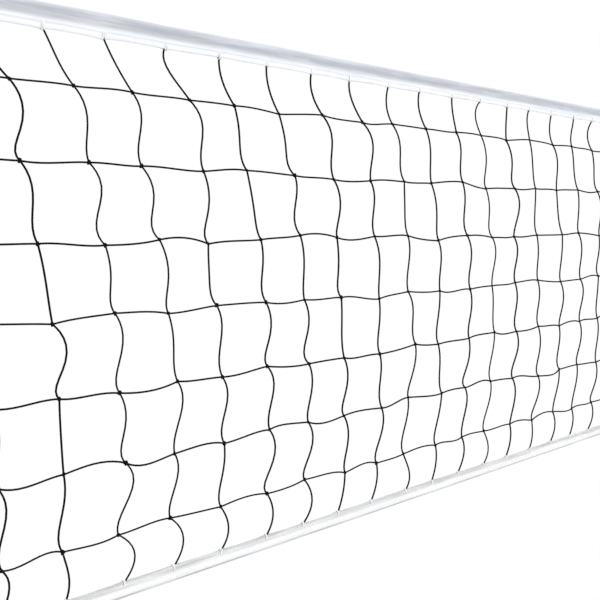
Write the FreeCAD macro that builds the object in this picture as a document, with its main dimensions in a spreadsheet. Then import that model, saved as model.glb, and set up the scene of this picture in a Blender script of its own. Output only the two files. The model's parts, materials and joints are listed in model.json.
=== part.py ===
import FreeCAD, Part
import math
import os
import re
import Sketcher

# A full-size volleyball net on two telescoping floor posts, in millimetres.
# +X runs along the net, +Z is up, and the origin is on the floor midway between the posts.
# The right post carries the winch, the left post holds the other end of the head cable.

V = FreeCAD.Vector
doc = FreeCAD.newDocument("volleyball_net")

# Driving sizes: alias, value and what it measures.
SIZES = [
    ("net_to_post", 350, "net's end to the post's axis, which puts each post 0.6 m outside a 9 m court"),
    ("cable_height", 2430, "head cable above the floor"),
    ("slip_gap", 0.1, "radial gap of pieces that are pushed or welded together"),
    ("turn_gap", 0.05, "radial gap of a shaft in its bore"),
    ("clear_gap", 0.3, "gap between neighbours that move past each other"),
    ("plate_side", 400, "side of the square base plate"),
    ("plate_thick", 10, "base plate thickness"),
    ("plate_corner", 25, "corner radius of the base plate"),
    ("anchor_spacing", 320, "floor anchor to floor anchor"),
    ("anchor_radius", 9, "hole for a 16 mm floor anchor"),
    ("gusset_reach", 105, "gusset along the plate"),
    ("gusset_rise", 140, "gusset up the tube"),
    ("gusset_nose", 15, "blunt ends of a gusset"),
    ("gusset_thick", 8, "gusset plate"),
    ("tube_wall", 4, "outer tube wall"),
    ("tube_top", 960, "mouth of the outer tube"),
    ("collar_thick", 7.5, "clamp collar wall"),
    ("collar_drop", 110, "clamp collar height"),
    ("clamp_drop", 65, "clamp screw below the mouth"),
    ("boss_radius", 20, "clamp screw boss"),
    ("boss_reach", 76, "boss face from the post axis"),
    ("bush_length", 45, "nylon bush in the mouth"),
    ("bush_flange", 5.5, "bush flange beyond the tube"),
    ("bush_flange_thick", 4, "bush flange thickness"),
    ("mast_radius", 38.05, "sliding mast, 76.1 mm pipe"),
    ("mast_wall", 3, "mast wall"),
    ("bush_space", 2.4, "room for the bush between the mast and the outer tube, an 88.9 mm pipe"),
    ("mast_foot", 490, "lower end of the mast"),
    ("mast_drop", 130, "upper end of the mast below the head cable"),
    ("foot_thick", 30, "guide disc under the mast"),
    ("foot_spigot", 40, "guide spigot inside the mast"),
    ("foot_drain", 12, "radius of the drain hole in the guide"),
    ("screw_radius", 8, "clamp screw, M16"),
    ("spigot_radius", 4, "swivel spigot at the screw's tip"),
    ("spigot_length", 3.5, "swivel spigot length"),
    ("pad_play", 0.5, "brass clamp pad's radius, less than the screw's"),
    ("pad_thick", 6, "brass clamp pad"),
    ("knob_radius", 32, "star knob"),
    ("knob_thick", 22, "star of the knob"),
    ("knob_hub_radius", 14, "knob hub"),
    ("knob_hub", 12, "knob hub length"),
    ("knob_stand_off", 8, "knob hub from the boss"),
    ("knob_lobe", 13, "radius of the hollows between the knob's lobes"),
    ("disc_thick", 8, "disc that closes the mast"),
    ("cheek_gap", 18, "space between the head's two cheeks"),
    ("cheek_thick", 6, "cheek plate"),
    ("cheek_width", 56, "cheek plate"),
    ("cheek_round", 22, "cheek's rounded end at the pulley axle"),
    ("pin_round", 16, "cheek's rounded end at the anchor pin"),
    ("pulley_radius", 56, "pulley axle to cable centre"),
    ("pulley_rim", 61, "pulley rim radius"),
    ("pulley_width", 16, "pulley width"),
    ("groove_half", 2, "half width of the groove's floor"),
    ("rim_half", 1, "width of each rim edge"),
    ("pulley_hole", 9, "lightening holes of the pulley"),
    ("pulley_hole_ring", 32, "ring of the lightening holes"),
    ("pulley_bush_radius", 11, "bronze bush in the pulley"),
    ("axle_radius", 8, "pulley axle and drum axle"),
    ("anchor_pin", 6, "anchor pin radius"),
    ("hex_big", 12, "half the width across flats of an M16 head"),
    ("hex_pin", 9.5, "half the width across flats of an M12 head"),
    ("hex_small", 5, "half the width across flats of an M6 head"),
    ("hex_mid", 6.5, "half the width across flats of an M8 nut"),
    ("head_thick", 8, "thickness of the big hexagon heads"),
    ("nut_thick", 13, "M16 nut"),
    ("thread_past", 3, "thread left past a nut"),
    ("cable_radius", 2.5, "head cable, 5 mm coated steel rope"),
    ("eye_radius", 12, "cable centre round the thimble"),
    ("eye_knot", 36, "where the cable's legs meet"),
    ("leg_gap", 6.4, "cable's two legs in the ferrule"),
    ("ferrule_from_knot", 4, "ferrule beyond the corner where the legs turn parallel"),
    ("ferrule_length", 22, "pressed ferrule"),
    ("ferrule_wall", 2, "wall round the cable in the ferrule"),
    ("tail_past", 6, "cable tail past the ferrule"),
    ("thimble_width", 9, "thimble width"),
    ("thimble_rim", 13.5, "thimble rim radius"),
    ("net_length", 9500, "whole net, end to end"),
    ("mesh_pitch", 120, "knot to knot"),
    ("twine", 3, "net twine"),
    ("mesh_rise", 2, "top row of knots above the cable's centre"),
    ("edge_strand", 3, "mesh edge strand along the bands"),
    ("roll_radius", 11, "top band rolled round the head cable"),
    ("top_band_drop", 32, "top band's lower edge below the cable"),
    ("band_thick", 4, "bands, folded tape"),
    ("net_drop", 939, "head cable down to the net's lower edge"),
    ("hem_radius", 6, "bottom band rolled round its rope"),
    ("bottom_band_rise", 26, "bottom band height"),
    ("rope_radius", 3, "bottom rope"),
    ("side_band", 50, "side band width"),
    ("rod_radius", 6, "side rod"),
    ("sleeve_wall", 2, "side band round the rod"),
    ("tie_radius", 2.5, "tie cord"),
    ("eyelet_radius", 4, "eyelet's bore"),
    ("eyelet_barrel", 1, "eyelet's wall"),
    ("eyelet_rim", 8, "eyelet's rim radius"),
    ("eyelet_from_edge", 35, "eyelet from the net's end"),
    ("upper_eyelet", 70, "upper eyelet below the head cable"),
    ("upper_hook", 160, "upper hook below the head cable"),
    ("middle_hook", 490, "middle hook and eyelet below the head cable"),
    ("hook_ring_wall", 5, "hook ring wall"),
    ("hook_ring_rise", 24, "hook ring height"),
    ("hook_plate", 6, "hook plate thickness"),
    ("hook_reach", 60, "hook's eye from the post axis"),
    ("hook_round", 14, "hook plate's rounded end"),
    ("hook_eye", 8, "hook's eye radius"),
    ("ear_reach", 20, "clamp ears of the hook ring"),
    ("ear_thick", 5, "clamp ear"),
    ("ear_gap", 4, "slit between the ears"),
    ("ear_bolt", 3, "M6 bolt of the hook ring"),
    ("knot_radius", 7, "knot of the bottom rope"),
    ("rope_eye", 12, "rope centre round the hook's eye"),
    ("rope_play", 0.5, "gap between the rope's two ends at its knot"),
    ("rope_knot", 55, "knot from the hook's eye"),
    ("tie_knot_radius", 6, "knot of a tie cord"),
    ("drum_drop", 750, "winch drum below the head cable"),
    ("wrap_radius", 27, "drum axis to cable centre"),
    ("drum_rim", 36, "drum flange radius"),
    ("drum_flange", 2.5, "drum flange thickness"),
    ("wrap_pitch", 5.5, "winding pitch on the drum"),
    ("wraps", 4, "turns of the rotating winding"),
    ("wrap_arc", 320, "degrees that the cable's own end goes round the drum"),
    ("gear_module", 2, "module of the winch gears"),
    ("drum_teeth", 36, "teeth of the drum gear"),
    ("pinion_teeth", 12, "teeth of the pinion"),
    ("addendum", 0.8, "tooth tip above the pitch circle, in modules"),
    ("dedendum", 1.05, "tooth root below the pitch circle, in modules"),
    ("backlash", 0.3, "play between meshed teeth along the pitch circle"),
    ("pressure_angle", 20, "degrees"),
    ("gear_thick", 8, "drum gear and pinion"),
    ("hub_radius", 14, "drum hub inside the gear"),
    ("frame_plate", 5, "winch frame plate"),
    ("frame_reach", 88, "side plates out from the back plate"),
    ("frame_low", 75, "side plates below the drum axle"),
    ("frame_high", 50, "side plates above the drum axle"),
    ("frame_round", 24, "outer corners of the side plates"),
    ("back_width", 104, "back plate width"),
    ("back_over", 53, "back plate beyond the side plates, above and below"),
    ("strap_inset", 20, "U-bolt from the end of the back plate"),
    ("strap_radius", 4, "U-bolt, M8"),
    ("strap_past", 17, "U-bolt's ends past the back plate's face"),
    ("strap_nut", 6.5, "M8 nut"),
    ("plate_play", 1, "side play between the drum and the frame"),
    ("shaft_radius", 7, "crank shaft"),
    ("shaft_end", 10, "riveted end of the crank shaft"),
    ("shaft_thread", 6, "threaded end of the crank shaft"),
    ("ratchet_teeth", 12, "teeth of the ratchet wheel"),
    ("ratchet_tip", 24, "ratchet tooth tip radius"),
    ("ratchet_root", 19, "ratchet tooth root radius"),
    ("ratchet_thick", 6, "ratchet wheel"),
    ("ratchet_hub", 11, "ratchet hub radius"),
    ("ratchet_hub_long", 10, "ratchet hub out to the crank"),
    ("pawl_angle", -10, "degrees from +X of the tooth that the pawl holds"),
    ("pawl_out", 29, "pawl pivot from the shaft along X"),
    ("pawl_up", 24, "pawl pivot above the shaft"),
    ("pawl_boss", 7, "pawl boss radius"),
    ("pawl_gap", 1.1, "pawl's nose from the tooth it holds"),
    ("pawl_rest", 10.5, "degrees that the pawl is lifted off the teeth in this pose"),
    ("pawl_thick", 5.6, "pawl plate"),
    ("pawl_pin_radius", 4, "pawl pin"),
    ("pawl_pin_head", 7, "pawl pin's head radius"),
    ("pawl_pin_head_thick", 2, "pawl pin's head"),
    ("spring_wire", 0.6, "radius of the pawl spring's wire"),
    ("spring_radius", 5.2, "pawl spring's mean radius"),
    ("spring_pitch", 1.7, "pawl spring's pitch"),
    ("spring_turns", 3, "pawl spring's turns"),
    ("spring_leg", 12, "pawl spring's straight ends"),
    ("crank_radius", 150, "crank shaft to grip"),
    ("crank_width", 24, "crank arm width"),
    ("crank_hub", 16, "crank arm's end round the shaft"),
    ("crank_thick", 6, "crank arm"),
    ("crank_nut", 8, "nut on the crank shaft"),
    ("grip_pin", 5, "grip pin radius"),
    ("grip_radius", 15, "grip radius"),
    ("grip_length", 90, "grip length"),
    ("grip_round", 4, "rounded ends of the grip"),
    ("grip_stand_off", 3, "grip from the crank arm"),
    ("grip_head", 9, "head of the grip pin"),
]

sheet = doc.addObject("Spreadsheet::Sheet", "sizes")
for row, (alias, number, meaning) in enumerate(SIZES, 1):
    sheet.set(f"A{row}", meaning)
    sheet.set(f"B{row}", str(number))
    sheet.setAlias(f"B{row}", alias)
doc.recompute()
ALIASES = {alias for alias, _, _ in SIZES}


def formula(text):
    """The text as an expression, with each size's name looked up in the sheet."""
    return re.sub(r"[a-z_]+", lambda word: "sizes." + word[0] if word[0] in ALIASES else word[0], str(text))


def val(text):
    """What a formula of the sheet's sizes comes to."""
    return float(sheet.evalExpression(formula(text)))


# Ways that a piece's own +Z can point. "-Y" also turns its own +Y up, for plates that stand along the net.
TURNS = {
    "Z": FreeCAD.Rotation(),
    "Y": FreeCAD.Rotation(V(1, 0, 0), -90),
    "-Y": FreeCAD.Rotation(V(1, 0, 0), 90),
    "X": FreeCAD.Rotation(V(0, 1, 0), 90),
    "-X": FreeCAD.Rotation(V(0, 1, 0), -90),
}
subparts = {}


def keep(label, thing):
    """Lists an object as a sub-part, under the name that its file gets."""
    thing.Label = label
    subparts[label] = thing
    return thing


def place(thing, at, way="Z"):
    """Turns an object one of the ways above and ties its place to the sheet."""
    thing.Placement = FreeCAD.Placement(V(), TURNS[way])
    for axis, text in zip("xyz", at):
        thing.setExpression(f"Placement.Base.{axis}", formula(text))
    return thing


def primitive(kind, at, way="Z", **dims):
    thing = doc.addObject("Part::" + kind, kind.lower())
    for name, text in dims.items():
        thing.setExpression(name, formula(text))
    return place(thing, at, way)


def cylinder(radius, height, at, way="Z"):
    return primitive("Cylinder", at, way, Radius=radius, Height=height)


def box(length, width, height, at):
    return primitive("Box", at, Length=length, Width=width, Height=height)


def hexagon(half_flats, height, at, way):
    """A hexagon prism: a bolt head or a nut."""
    return primitive("Prism", at, way, Circumradius=f"{half_flats} / cos(30)", Height=height)


def join(*shapes):
    whole = doc.addObject("Part::MultiFuse", "joined")
    whole.Shapes = list(shapes)
    return whole


def cut(base, *tools):
    result = doc.addObject("Part::Cut", "cut")
    result.Base = base
    result.Tool = tools[0] if len(tools) == 1 else join(*tools)
    return result


def group(*shapes):
    """Separate solids in one object."""
    several = doc.addObject("Part::Compound", "group")
    several.Links = list(shapes)
    return several


def sketch_in(body, role):
    """An empty sketch on one of a body's own origin planes."""
    plane = next(feature for feature in body.Origin.OriginFeatures if feature.Role == role)
    sketch = body.newObject("Sketcher::SketchObject", "outline")
    sketch.AttachmentSupport = (plane, "")
    sketch.MapMode = "FlatFace"
    return sketch


def bound(sketch, kind, where, text):
    """Adds a constraint whose value is a formula of the sheet's sizes."""
    number = sketch.addConstraint(Sketcher.Constraint(kind, *where, val(text)))
    sketch.setExpression(f"Constraints[{number}]", formula(text))


def polygon(sketch, corners):
    """A closed outline with every corner tied to the sheet."""
    first = sketch.GeometryCount
    points = [V(val(across), val(up), 0) for across, up in corners]
    for start, end in zip(points, points[1:] + points[:1]):
        sketch.addGeometry(Part.LineSegment(start, end))
    for number, (across, up) in enumerate(corners):
        following = (number + 1) % len(corners)
        sketch.addConstraint(Sketcher.Constraint("Coincident", first + number, 2, first + following, 1))
        bound(sketch, "DistanceX", (-1, 1, first + number, 1), across)
        bound(sketch, "DistanceY", (-1, 1, first + number, 1), up)


def circle(sketch, radius, across="0", up="0"):
    number = sketch.addGeometry(Part.Circle(V(val(across), val(up), 0), V(0, 0, 1), val(radius)))
    bound(sketch, "DistanceX", (-1, 1, number, 3), across)
    bound(sketch, "DistanceY", (-1, 1, number, 3), up)
    bound(sketch, "Radius", (number,), radius)


def turned(label, profile, at, way="Z"):
    """A lathe-turned piece: a profile of (radius, height) corners, revolved about its own Z."""
    body = doc.addObject("PartDesign::Body", label)
    sketch = sketch_in(body, "XZ_Plane")
    polygon(sketch, profile)
    spin = body.newObject("PartDesign::Revolution", "turning")
    spin.Profile = sketch
    spin.ReferenceAxis = (sketch, ["V_Axis"])
    spin.Angle = 360
    body.Tip = spin
    place(body, at, way)
    return keep(label, body)


def padded(body, thick, draw):
    """Pads an outline, drawn by a function, up from a body's own XY plane."""
    sketch = sketch_in(body, "XY_Plane")
    draw(sketch)
    pad = body.newObject("PartDesign::Pad", "pad")
    pad.Profile = sketch
    pad.setExpression("Length", formula(thick))
    body.Tip = pad
    return pad


def holed(body, draw):
    """Cuts holes, drawn by a function, right through a padded body."""
    before = body.Shape.Volume
    sketch = sketch_in(body, "XY_Plane")
    draw(sketch)
    pocket = body.newObject("PartDesign::Pocket", "holes")
    pocket.Profile = sketch
    pocket.Type = "ThroughAll"
    pocket.Reversed = True
    body.Tip = pocket
    doc.recompute()
    if body.Shape.Volume >= before:
        raise RuntimeError(f"{body.Label}: its holes cut nothing")
    return pocket


def repeated(body, feature, count):
    """Repeats a feature evenly round a body's own Z."""
    pattern = body.newObject("PartDesign::PolarPattern", "round")
    pattern.Originals = [feature]
    pattern.Axis = (next(f for f in body.Origin.OriginFeatures if f.Role == "Z_Axis"), [""])
    pattern.Angle = 360
    pattern.setExpression("Occurrences", formula(count))
    body.Tip = pattern
    doc.recompute()


def fixed_shape(label, shape):
    """A piece that is made in code from the sheet's sizes."""
    feature = doc.addObject("Part::Feature", label)
    feature.Shape = shape
    feature.Placement = FreeCAD.Placement()
    return keep(label, feature)


def plate_along_net(edges, face_y, thick):
    """A flat plate whose outline lies in the XZ plane, with its +Y face at face_y."""
    face = Part.Face(Part.Wire(edges))
    face.translate(V(0, face_y, 0))
    return face.extrude(V(0, -thick, 0))


def polar(centre, radius, degrees):
    """A point in the XZ plane at an angle from +X towards +Z."""
    angle = math.radians(degrees)
    return centre + V(radius * math.cos(angle), 0, radius * math.sin(angle))


def lines(points):
    return [Part.LineSegment(a, b).toShape() for a, b in zip(points, points[1:])]


# The floor posts
POSTS = (("left", -1), ("right", 1))


POST_OUT = "(net_length / 2 + net_to_post)"
TUBE_RADIUS = "(mast_radius + bush_space + tube_wall)"


def post_x(sign):
    return f"{sign} * {POST_OUT}"


def base_plate(side, sign):
    body = doc.addObject("PartDesign::Body", side + "_base_plate")
    half, hole = "plate_side / 2", "anchor_spacing / 2"
    corners = [(f"{a} * {half}", f"{b} * {half}") for a, b in ((-1, -1), (1, -1), (1, 1), (-1, 1))]
    pad = padded(body, "plate_thick", lambda sketch: polygon(sketch, corners))
    doc.recompute()
    upright = [
        f"Edge{number}"
        for number, edge in enumerate(pad.Shape.Edges, 1)
        if abs(edge.tangentAt(edge.FirstParameter).z) > 0.9
    ]
    rounding = body.newObject("PartDesign::Fillet", "corners")
    rounding.Base = (pad, upright)
    rounding.setExpression("Radius", formula("plate_corner"))
    body.Tip = rounding
    doc.recompute()

    def anchor_holes(sketch):
        for a in (-1, 1):
            for b in (-1, 1):
                circle(sketch, "anchor_radius", f"{a} * {hole}", f"{b} * {hole}")

    holed(body, anchor_holes)
    place(body, (post_x(sign), "0", "0"))
    keep(side + "_base_plate", body)


def gussets(side, sign):
    """Four blunt triangles welded between the plate and the tube."""
    plates = []
    for quarter in range(4):
        wedge = doc.addObject("Part::Wedge", "gusset")
        for name, text in (
            ("Xmin", TUBE_RADIUS),
            ("Xmax", f"{TUBE_RADIUS} + gusset_reach"),
            ("X2min", TUBE_RADIUS),
            ("X2max", f"{TUBE_RADIUS} + gusset_nose"),
            ("Ymin", "plate_thick"),
            ("Ymax", "plate_thick + gusset_rise"),
            ("Zmin", "-gusset_thick / 2"),
            ("Zmax", "gusset_thick / 2"),
            ("Z2min", "-gusset_thick / 2"),
            ("Z2max", "gusset_thick / 2"),
        ):
            wedge.setExpression(name, formula(text))
        upright = FreeCAD.Rotation(V(1, 0, 0), 90)
        wedge.Placement = FreeCAD.Placement(V(), FreeCAD.Rotation(V(0, 0, 1), 90 * quarter) * upright)
        wedge.setExpression("Placement.Base.x", formula(post_x(sign)))
        plates.append(wedge)
    tube = cylinder(f"{TUBE_RADIUS} + slip_gap", "tube_top", (post_x(sign), "0", "0"))
    keep(side + "_gussets", cut(group(*plates), tube))


def outer_tube(side, sign):
    x = post_x(sign)
    pipe = cylinder(TUBE_RADIUS, "tube_top - plate_thick", (x, "0", "plate_thick"))
    bore = cylinder(f"{TUBE_RADIUS} - tube_wall", "tube_top", (x, "0", "0"))
    pad_hole = cylinder("screw_radius + clear_gap", "boss_reach", (x, "0", "tube_top - clamp_drop"), "-Y")
    keep(side + "_outer_tube", cut(pipe, bore, pad_hole))


def clamp_collar(side, sign):
    x = post_x(sign)
    ring = cylinder(f"{TUBE_RADIUS} + collar_thick", "collar_drop", (x, "0", "tube_top - collar_drop"))
    boss = cylinder("boss_radius", "boss_reach", (x, "0", "tube_top - clamp_drop"), "-Y")
    bore = cylinder(f"{TUBE_RADIUS} + slip_gap", "tube_top", (x, "0", "0"))
    thread = cylinder("screw_radius + slip_gap", "boss_reach", (x, "0", "tube_top - clamp_drop"), "-Y")
    keep(side + "_clamp_collar", cut(join(ring, boss), bore, thread))


def guide_bush(side, sign):
    """The nylon liner that the mast slides in, with a flange that covers the tube's mouth."""
    inner, outer = "mast_radius + clear_gap", f"{TUBE_RADIUS} - tube_wall - slip_gap"
    turned(
        side + "_guide_bush",
        [
            (inner, "-bush_length"),
            (outer, "-bush_length"),
            (outer, "0"),
            (f"{TUBE_RADIUS} + bush_flange", "0"),
            (f"{TUBE_RADIUS} + bush_flange", "bush_flange_thick"),
            (inner, "bush_flange_thick"),
        ],
        (post_x(sign), "0", "tube_top"),
    )


def clamp(side, sign):
    """The brass pad, the screw that presses it on the mast, and the star knob on the screw."""
    x, z = post_x(sign), "tube_top - clamp_drop"
    pad_back = "(mast_radius + clear_gap + pad_thick)"
    pad = cylinder("screw_radius - pad_play", "pad_thick", (x, "-(mast_radius + clear_gap)", z), "-Y")
    socket = cylinder(
        "spigot_radius + clear_gap",
        "spigot_length + clear_gap",
        (x, f"-({pad_back} - spigot_length)", z),
        "-Y",
    )
    keep(side + "_clamp_pad", cut(pad, socket))
    tip = f"{pad_back} + clear_gap"
    knob_face = "(boss_reach + knob_stand_off)"
    thread_end = f"{knob_face} + knob_hub + knob_thick / 2"
    shank = cylinder("screw_radius", f"{thread_end} - ({tip})", (x, f"-({tip})", z), "-Y")
    spigot = cylinder("spigot_radius", "spigot_length", (x, f"-({tip} - spigot_length + clear_gap)", z), "-Y")
    keep(side + "_clamp_screw", join(shank, spigot))

    body = doc.addObject("PartDesign::Body", side + "_clamp_knob")
    padded(body, "knob_thick", lambda sketch: circle(sketch, "knob_radius"))
    doc.recompute()
    hollow = holed(body, lambda sketch: circle(sketch, "knob_lobe", "knob_radius + knob_lobe / 2", "0"))
    repeated(body, hollow, "5")
    hub = doc.addObject("PartDesign::Body", side + "_knob_hub")
    padded(hub, "knob_hub", lambda sketch: circle(sketch, "knob_hub_radius"))
    place(hub, (x, f"-{knob_face}", z), "-Y")
    place(body, (x, f"-({knob_face} + knob_hub)", z), "-Y")
    bore = cylinder("screw_radius + turn_gap", f"{thread_end} + clear_gap", (x, "0", z), "-Y")
    keep(side + "_clamp_knob", cut(join(body, hub), bore))


# The sliding masts
MAST_TOP = "(cable_height - mast_drop)"


def mast_tube(side, sign):
    x = post_x(sign)
    pipe = cylinder("mast_radius", f"{MAST_TOP} - mast_foot", (x, "0", "mast_foot"))
    bore = cylinder("mast_radius - mast_wall", MAST_TOP, (x, "0", "0"))
    keep(side + "_mast_tube", cut(pipe, bore))
    inside = "mast_radius - mast_wall - slip_gap"
    rubbing = f"{TUBE_RADIUS} - tube_wall - clear_gap"
    turned(
        side + "_mast_foot",
        [
            ("foot_drain", "-foot_thick"),
            (rubbing, "-foot_thick"),
            (rubbing, "0"),
            (inside, "0"),
            (inside, "foot_spigot"),
            ("foot_drain", "foot_spigot"),
        ],
        (x, "0", "mast_foot"),
    )


def head_bracket(side, sign, bolt_z, round_end, bolt_radius, half_flats):
    """A disc on the mast with two cheeks, and the bolt through them."""
    x = post_x(sign)
    parts = [cylinder("mast_radius", "disc_thick", (x, "0", MAST_TOP))]
    base = f"{MAST_TOP} + disc_thick"
    for inner_y in ("cheek_gap / 2", "-(cheek_gap / 2 + cheek_thick)"):
        foot = box("cheek_width", "cheek_thick", f"{round_end}", (f"{x} - cheek_width / 2", inner_y, base))
        web = box(
            f"2 * {round_end}",
            "cheek_thick",
            f"{bolt_z} - ({base})",
            (f"{x} - {round_end}", inner_y, base),
        )
        end = cylinder(round_end, "cheek_thick", (x, inner_y, bolt_z), "Y")
        parts += [foot, web, end]
    outer_y = "(cheek_gap / 2 + cheek_thick)"
    hole = cylinder(f"{bolt_radius} + turn_gap", f"4 * {outer_y}", (x, f"2 * {outer_y}", bolt_z), "-Y")
    keep(side + "_head_bracket", cut(join(*parts), hole))
    past = "nut_thick + thread_past"
    shank = cylinder(bolt_radius, f"2 * {outer_y} + {past}", (x, f"-{outer_y}", bolt_z), "Y")
    head = hexagon(half_flats, "head_thick", (x, f"-{outer_y}", bolt_z), "-Y")
    nut = hexagon(half_flats, "nut_thick", (x, outer_y, bolt_z), "Y")
    nut_bore = cylinder(f"{bolt_radius} + turn_gap", "2 * nut_thick", (x, "0", bolt_z), "Y")
    keep(side + "_head_bolt", group(join(shank, head), cut(nut, nut_bore)))


def hook_heights():
    return ("cable_height - upper_hook", "cable_height - middle_hook", "cable_height - net_drop + hem_radius")


def net_hooks(side, sign):
    """Three clamp rings on the mast, each with an eye towards the net and two ears with a bolt."""
    x = post_x(sign)
    rings, bolts = [], []
    ring_r = "(mast_radius + slip_gap + hook_ring_wall)"
    eye_x = f"{x} - {sign} * hook_reach"
    ear_y = "mast_radius + slip_gap + hook_ring_wall / 2"
    bolt_y = f"{ring_r} + ear_reach / 2"
    for height in hook_heights():
        low = f"{height} - hook_ring_rise / 2"
        ring = cylinder(ring_r, "hook_ring_rise", (x, "0", low))
        ears = box(
            "2 * ear_thick + ear_gap",
            f"ear_reach + {ring_r} - ({ear_y})",
            "hook_ring_rise",
            (f"{x} - ear_thick - ear_gap / 2", ear_y, low),
        )
        plate = box(
            "hook_reach",
            "hook_plate",
            "2 * hook_round",
            (f"{x} - {int(sign > 0)} * hook_reach", "-hook_plate / 2", f"{height} - hook_round"),
        )
        tip = cylinder("hook_round", "hook_plate", (eye_x, "-hook_plate / 2", height), "Y")
        under = f"{height} - 2 * hook_ring_rise"
        bore = cylinder("mast_radius + slip_gap", "4 * hook_ring_rise", (x, "0", under))
        slit_low = (f"{x} - ear_gap / 2", "0", f"{height} - hook_ring_rise")
        slit = box("ear_gap", f"2 * {ring_r}", "2 * hook_ring_rise", slit_low)
        eye = cylinder("hook_eye", "4 * hook_plate", (eye_x, "-2 * hook_plate", height), "Y")
        hole_start = (f"{x} - 4 * ear_thick", bolt_y, height)
        bolt_hole = cylinder("ear_bolt + slip_gap", "8 * ear_thick", hole_start, "X")
        rings.append(cut(join(ring, ears, plate, tip), bore, slit, eye, bolt_hole))
        outside = "(ear_thick + ear_gap / 2)"
        shank_start = (f"{x} - {outside}", bolt_y, height)
        shank = cylinder("ear_bolt", f"2 * {outside} + 2 * ear_bolt", shank_start, "X")
        head = hexagon("hex_small", "ear_bolt + ear_bolt / 3", (f"{x} - {outside}", bolt_y, height), "-X")
        nut = hexagon("hex_small", "ear_thick", (f"{x} + {outside}", bolt_y, height), "X")
        nut_bore = cylinder("ear_bolt + turn_gap", "4 * ear_thick", (x, bolt_y, height), "X")
        bolts += [join(shank, head), cut(nut, nut_bore)]
    keep(side + "_net_hooks", group(*rings))
    keep(side + "_hook_bolts", group(*bolts))


# The pulley on the right mast
PULLEY_Z = "cable_height - pulley_radius"
RIGHT_X = post_x(1)


def head_pulley():
    floor = "pulley_radius - cable_radius - clear_gap"
    half = "pulley_width / 2"
    body = turned(
        "head_pulley",
        [
            ("pulley_bush_radius", f"-{half}"),
            ("pulley_rim", f"-{half}"),
            ("pulley_rim", f"rim_half - {half}"),
            (floor, "-groove_half"),
            (floor, "groove_half"),
            ("pulley_rim", f"{half} - rim_half"),
            ("pulley_rim", half),
            ("pulley_bush_radius", half),
        ],
        (RIGHT_X, "0", PULLEY_Z),
        "Y",
    )
    doc.recompute()
    before = body.Shape.Volume
    sketch = sketch_in(body, "XY_Plane")
    circle(sketch, "pulley_hole", "pulley_hole_ring", "0")
    pocket = body.newObject("PartDesign::Pocket", "lightening_hole")
    pocket.Profile = sketch
    pocket.Type = "ThroughAll"
    pocket.Midplane = True
    body.Tip = pocket
    doc.recompute()
    if body.Shape.Volume >= before:
        raise RuntimeError("the pulley's hole cut nothing")
    repeated(body, pocket, "5")
    bush_half = f"({half} + rim_half / 2)"
    outer, inner = "pulley_bush_radius - turn_gap", "axle_radius + turn_gap"
    turned(
        "pulley_bush",
        [(inner, f"-{bush_half}"), (outer, f"-{bush_half}"), (outer, bush_half), (inner, bush_half)],
        (RIGHT_X, "0", PULLEY_Z),
        "Y",
    )


# The winch on the right mast. Its plates are stacked along Y from the cable's plane towards -Y.
DRUM_Z = "(cable_height - drum_drop)"
CABLE_DOWN_X = f"({RIGHT_X} + pulley_radius)"
DRUM_X = f"({CABLE_DOWN_X} + wrap_radius)"
GEAR_CENTRES = "(gear_module * (drum_teeth + pinion_teeth) / 2)"
SHAFT_Z = f"({DRUM_Z} - {GEAR_CENTRES})"
DRUM_BACK = "(cable_radius + clear_gap + drum_flange)"
DRUM_FRONT = "(wrap_pitch * (wraps + 1) + cable_radius + drum_flange)"
GEAR_FRONT = f"({DRUM_FRONT} + gear_thick)"
FRAME_BACK = f"({DRUM_BACK} + plate_play)"
FRAME_FRONT = f"({GEAR_FRONT} + plate_play)"
RATCHET_BACK = f"({FRAME_FRONT} + frame_plate + clear_gap)"
CRANK_BACK = f"({RATCHET_BACK} + ratchet_thick + ratchet_hub_long)"
BACK_PLATE_X = f"({RIGHT_X} + mast_radius + clear_gap)"
FRAME_FACE_X = f"({BACK_PLATE_X} + frame_plate)"


def winch_frame():
    """A back plate on the mast and two side plates that carry the axle, the shaft and the pawl."""
    low, high = f"({DRUM_Z} - frame_low)", f"({DRUM_Z} + frame_high)"
    tall = f"({high} - {low})"
    back = box(
        "frame_plate",
        "back_width",
        f"{tall} + 2 * back_over",
        (BACK_PLATE_X, "-back_width / 2", f"{low} - back_over"),
    )
    plates = [back]
    for inner_y in (FRAME_BACK, f"-({FRAME_FRONT} + frame_plate)"):
        straight = f"frame_reach - frame_round"
        plates.append(box(straight, "frame_plate", tall, (FRAME_FACE_X, inner_y, low)))
        plates.append(
            box(
                "frame_reach",
                "frame_plate",
                f"{tall} - 2 * frame_round",
                (FRAME_FACE_X, inner_y, f"{low} + frame_round"),
            )
        )
        for corner_z in (f"{low} + frame_round", f"{high} - frame_round"):
            corner = (f"{FRAME_FACE_X} + {straight}", inner_y, corner_z)
            plates.append(cylinder("frame_round", "frame_plate", corner, "Y"))
    through = "back_width"
    pin_hole = (f"{DRUM_X} + pawl_out", f"-{GEAR_FRONT}", f"{SHAFT_Z} + pawl_up")
    holes = [
        cylinder("axle_radius + turn_gap", f"2 * {through}", (DRUM_X, through, DRUM_Z), "-Y"),
        cylinder("shaft_radius + turn_gap", f"2 * {through}", (DRUM_X, through, SHAFT_Z), "-Y"),
        cylinder("pawl_pin_radius + turn_gap", through, pin_hole, "-Y"),
    ]
    for height in strap_heights():
        for way in (-1, 1):
            y = f"{way} * (mast_radius + clear_gap + strap_radius)"
            hole_start = (f"{BACK_PLATE_X} - frame_plate", y, height)
            holes.append(cylinder("strap_radius + slip_gap", "4 * frame_plate", hole_start, "X"))
    keep("winch_frame", cut(join(*plates), *holes))


def strap_heights():
    low, high = f"({DRUM_Z} - frame_low - back_over)", f"({DRUM_Z} + frame_high + back_over)"
    return f"{low} + strap_inset", f"{high} - strap_inset"


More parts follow.
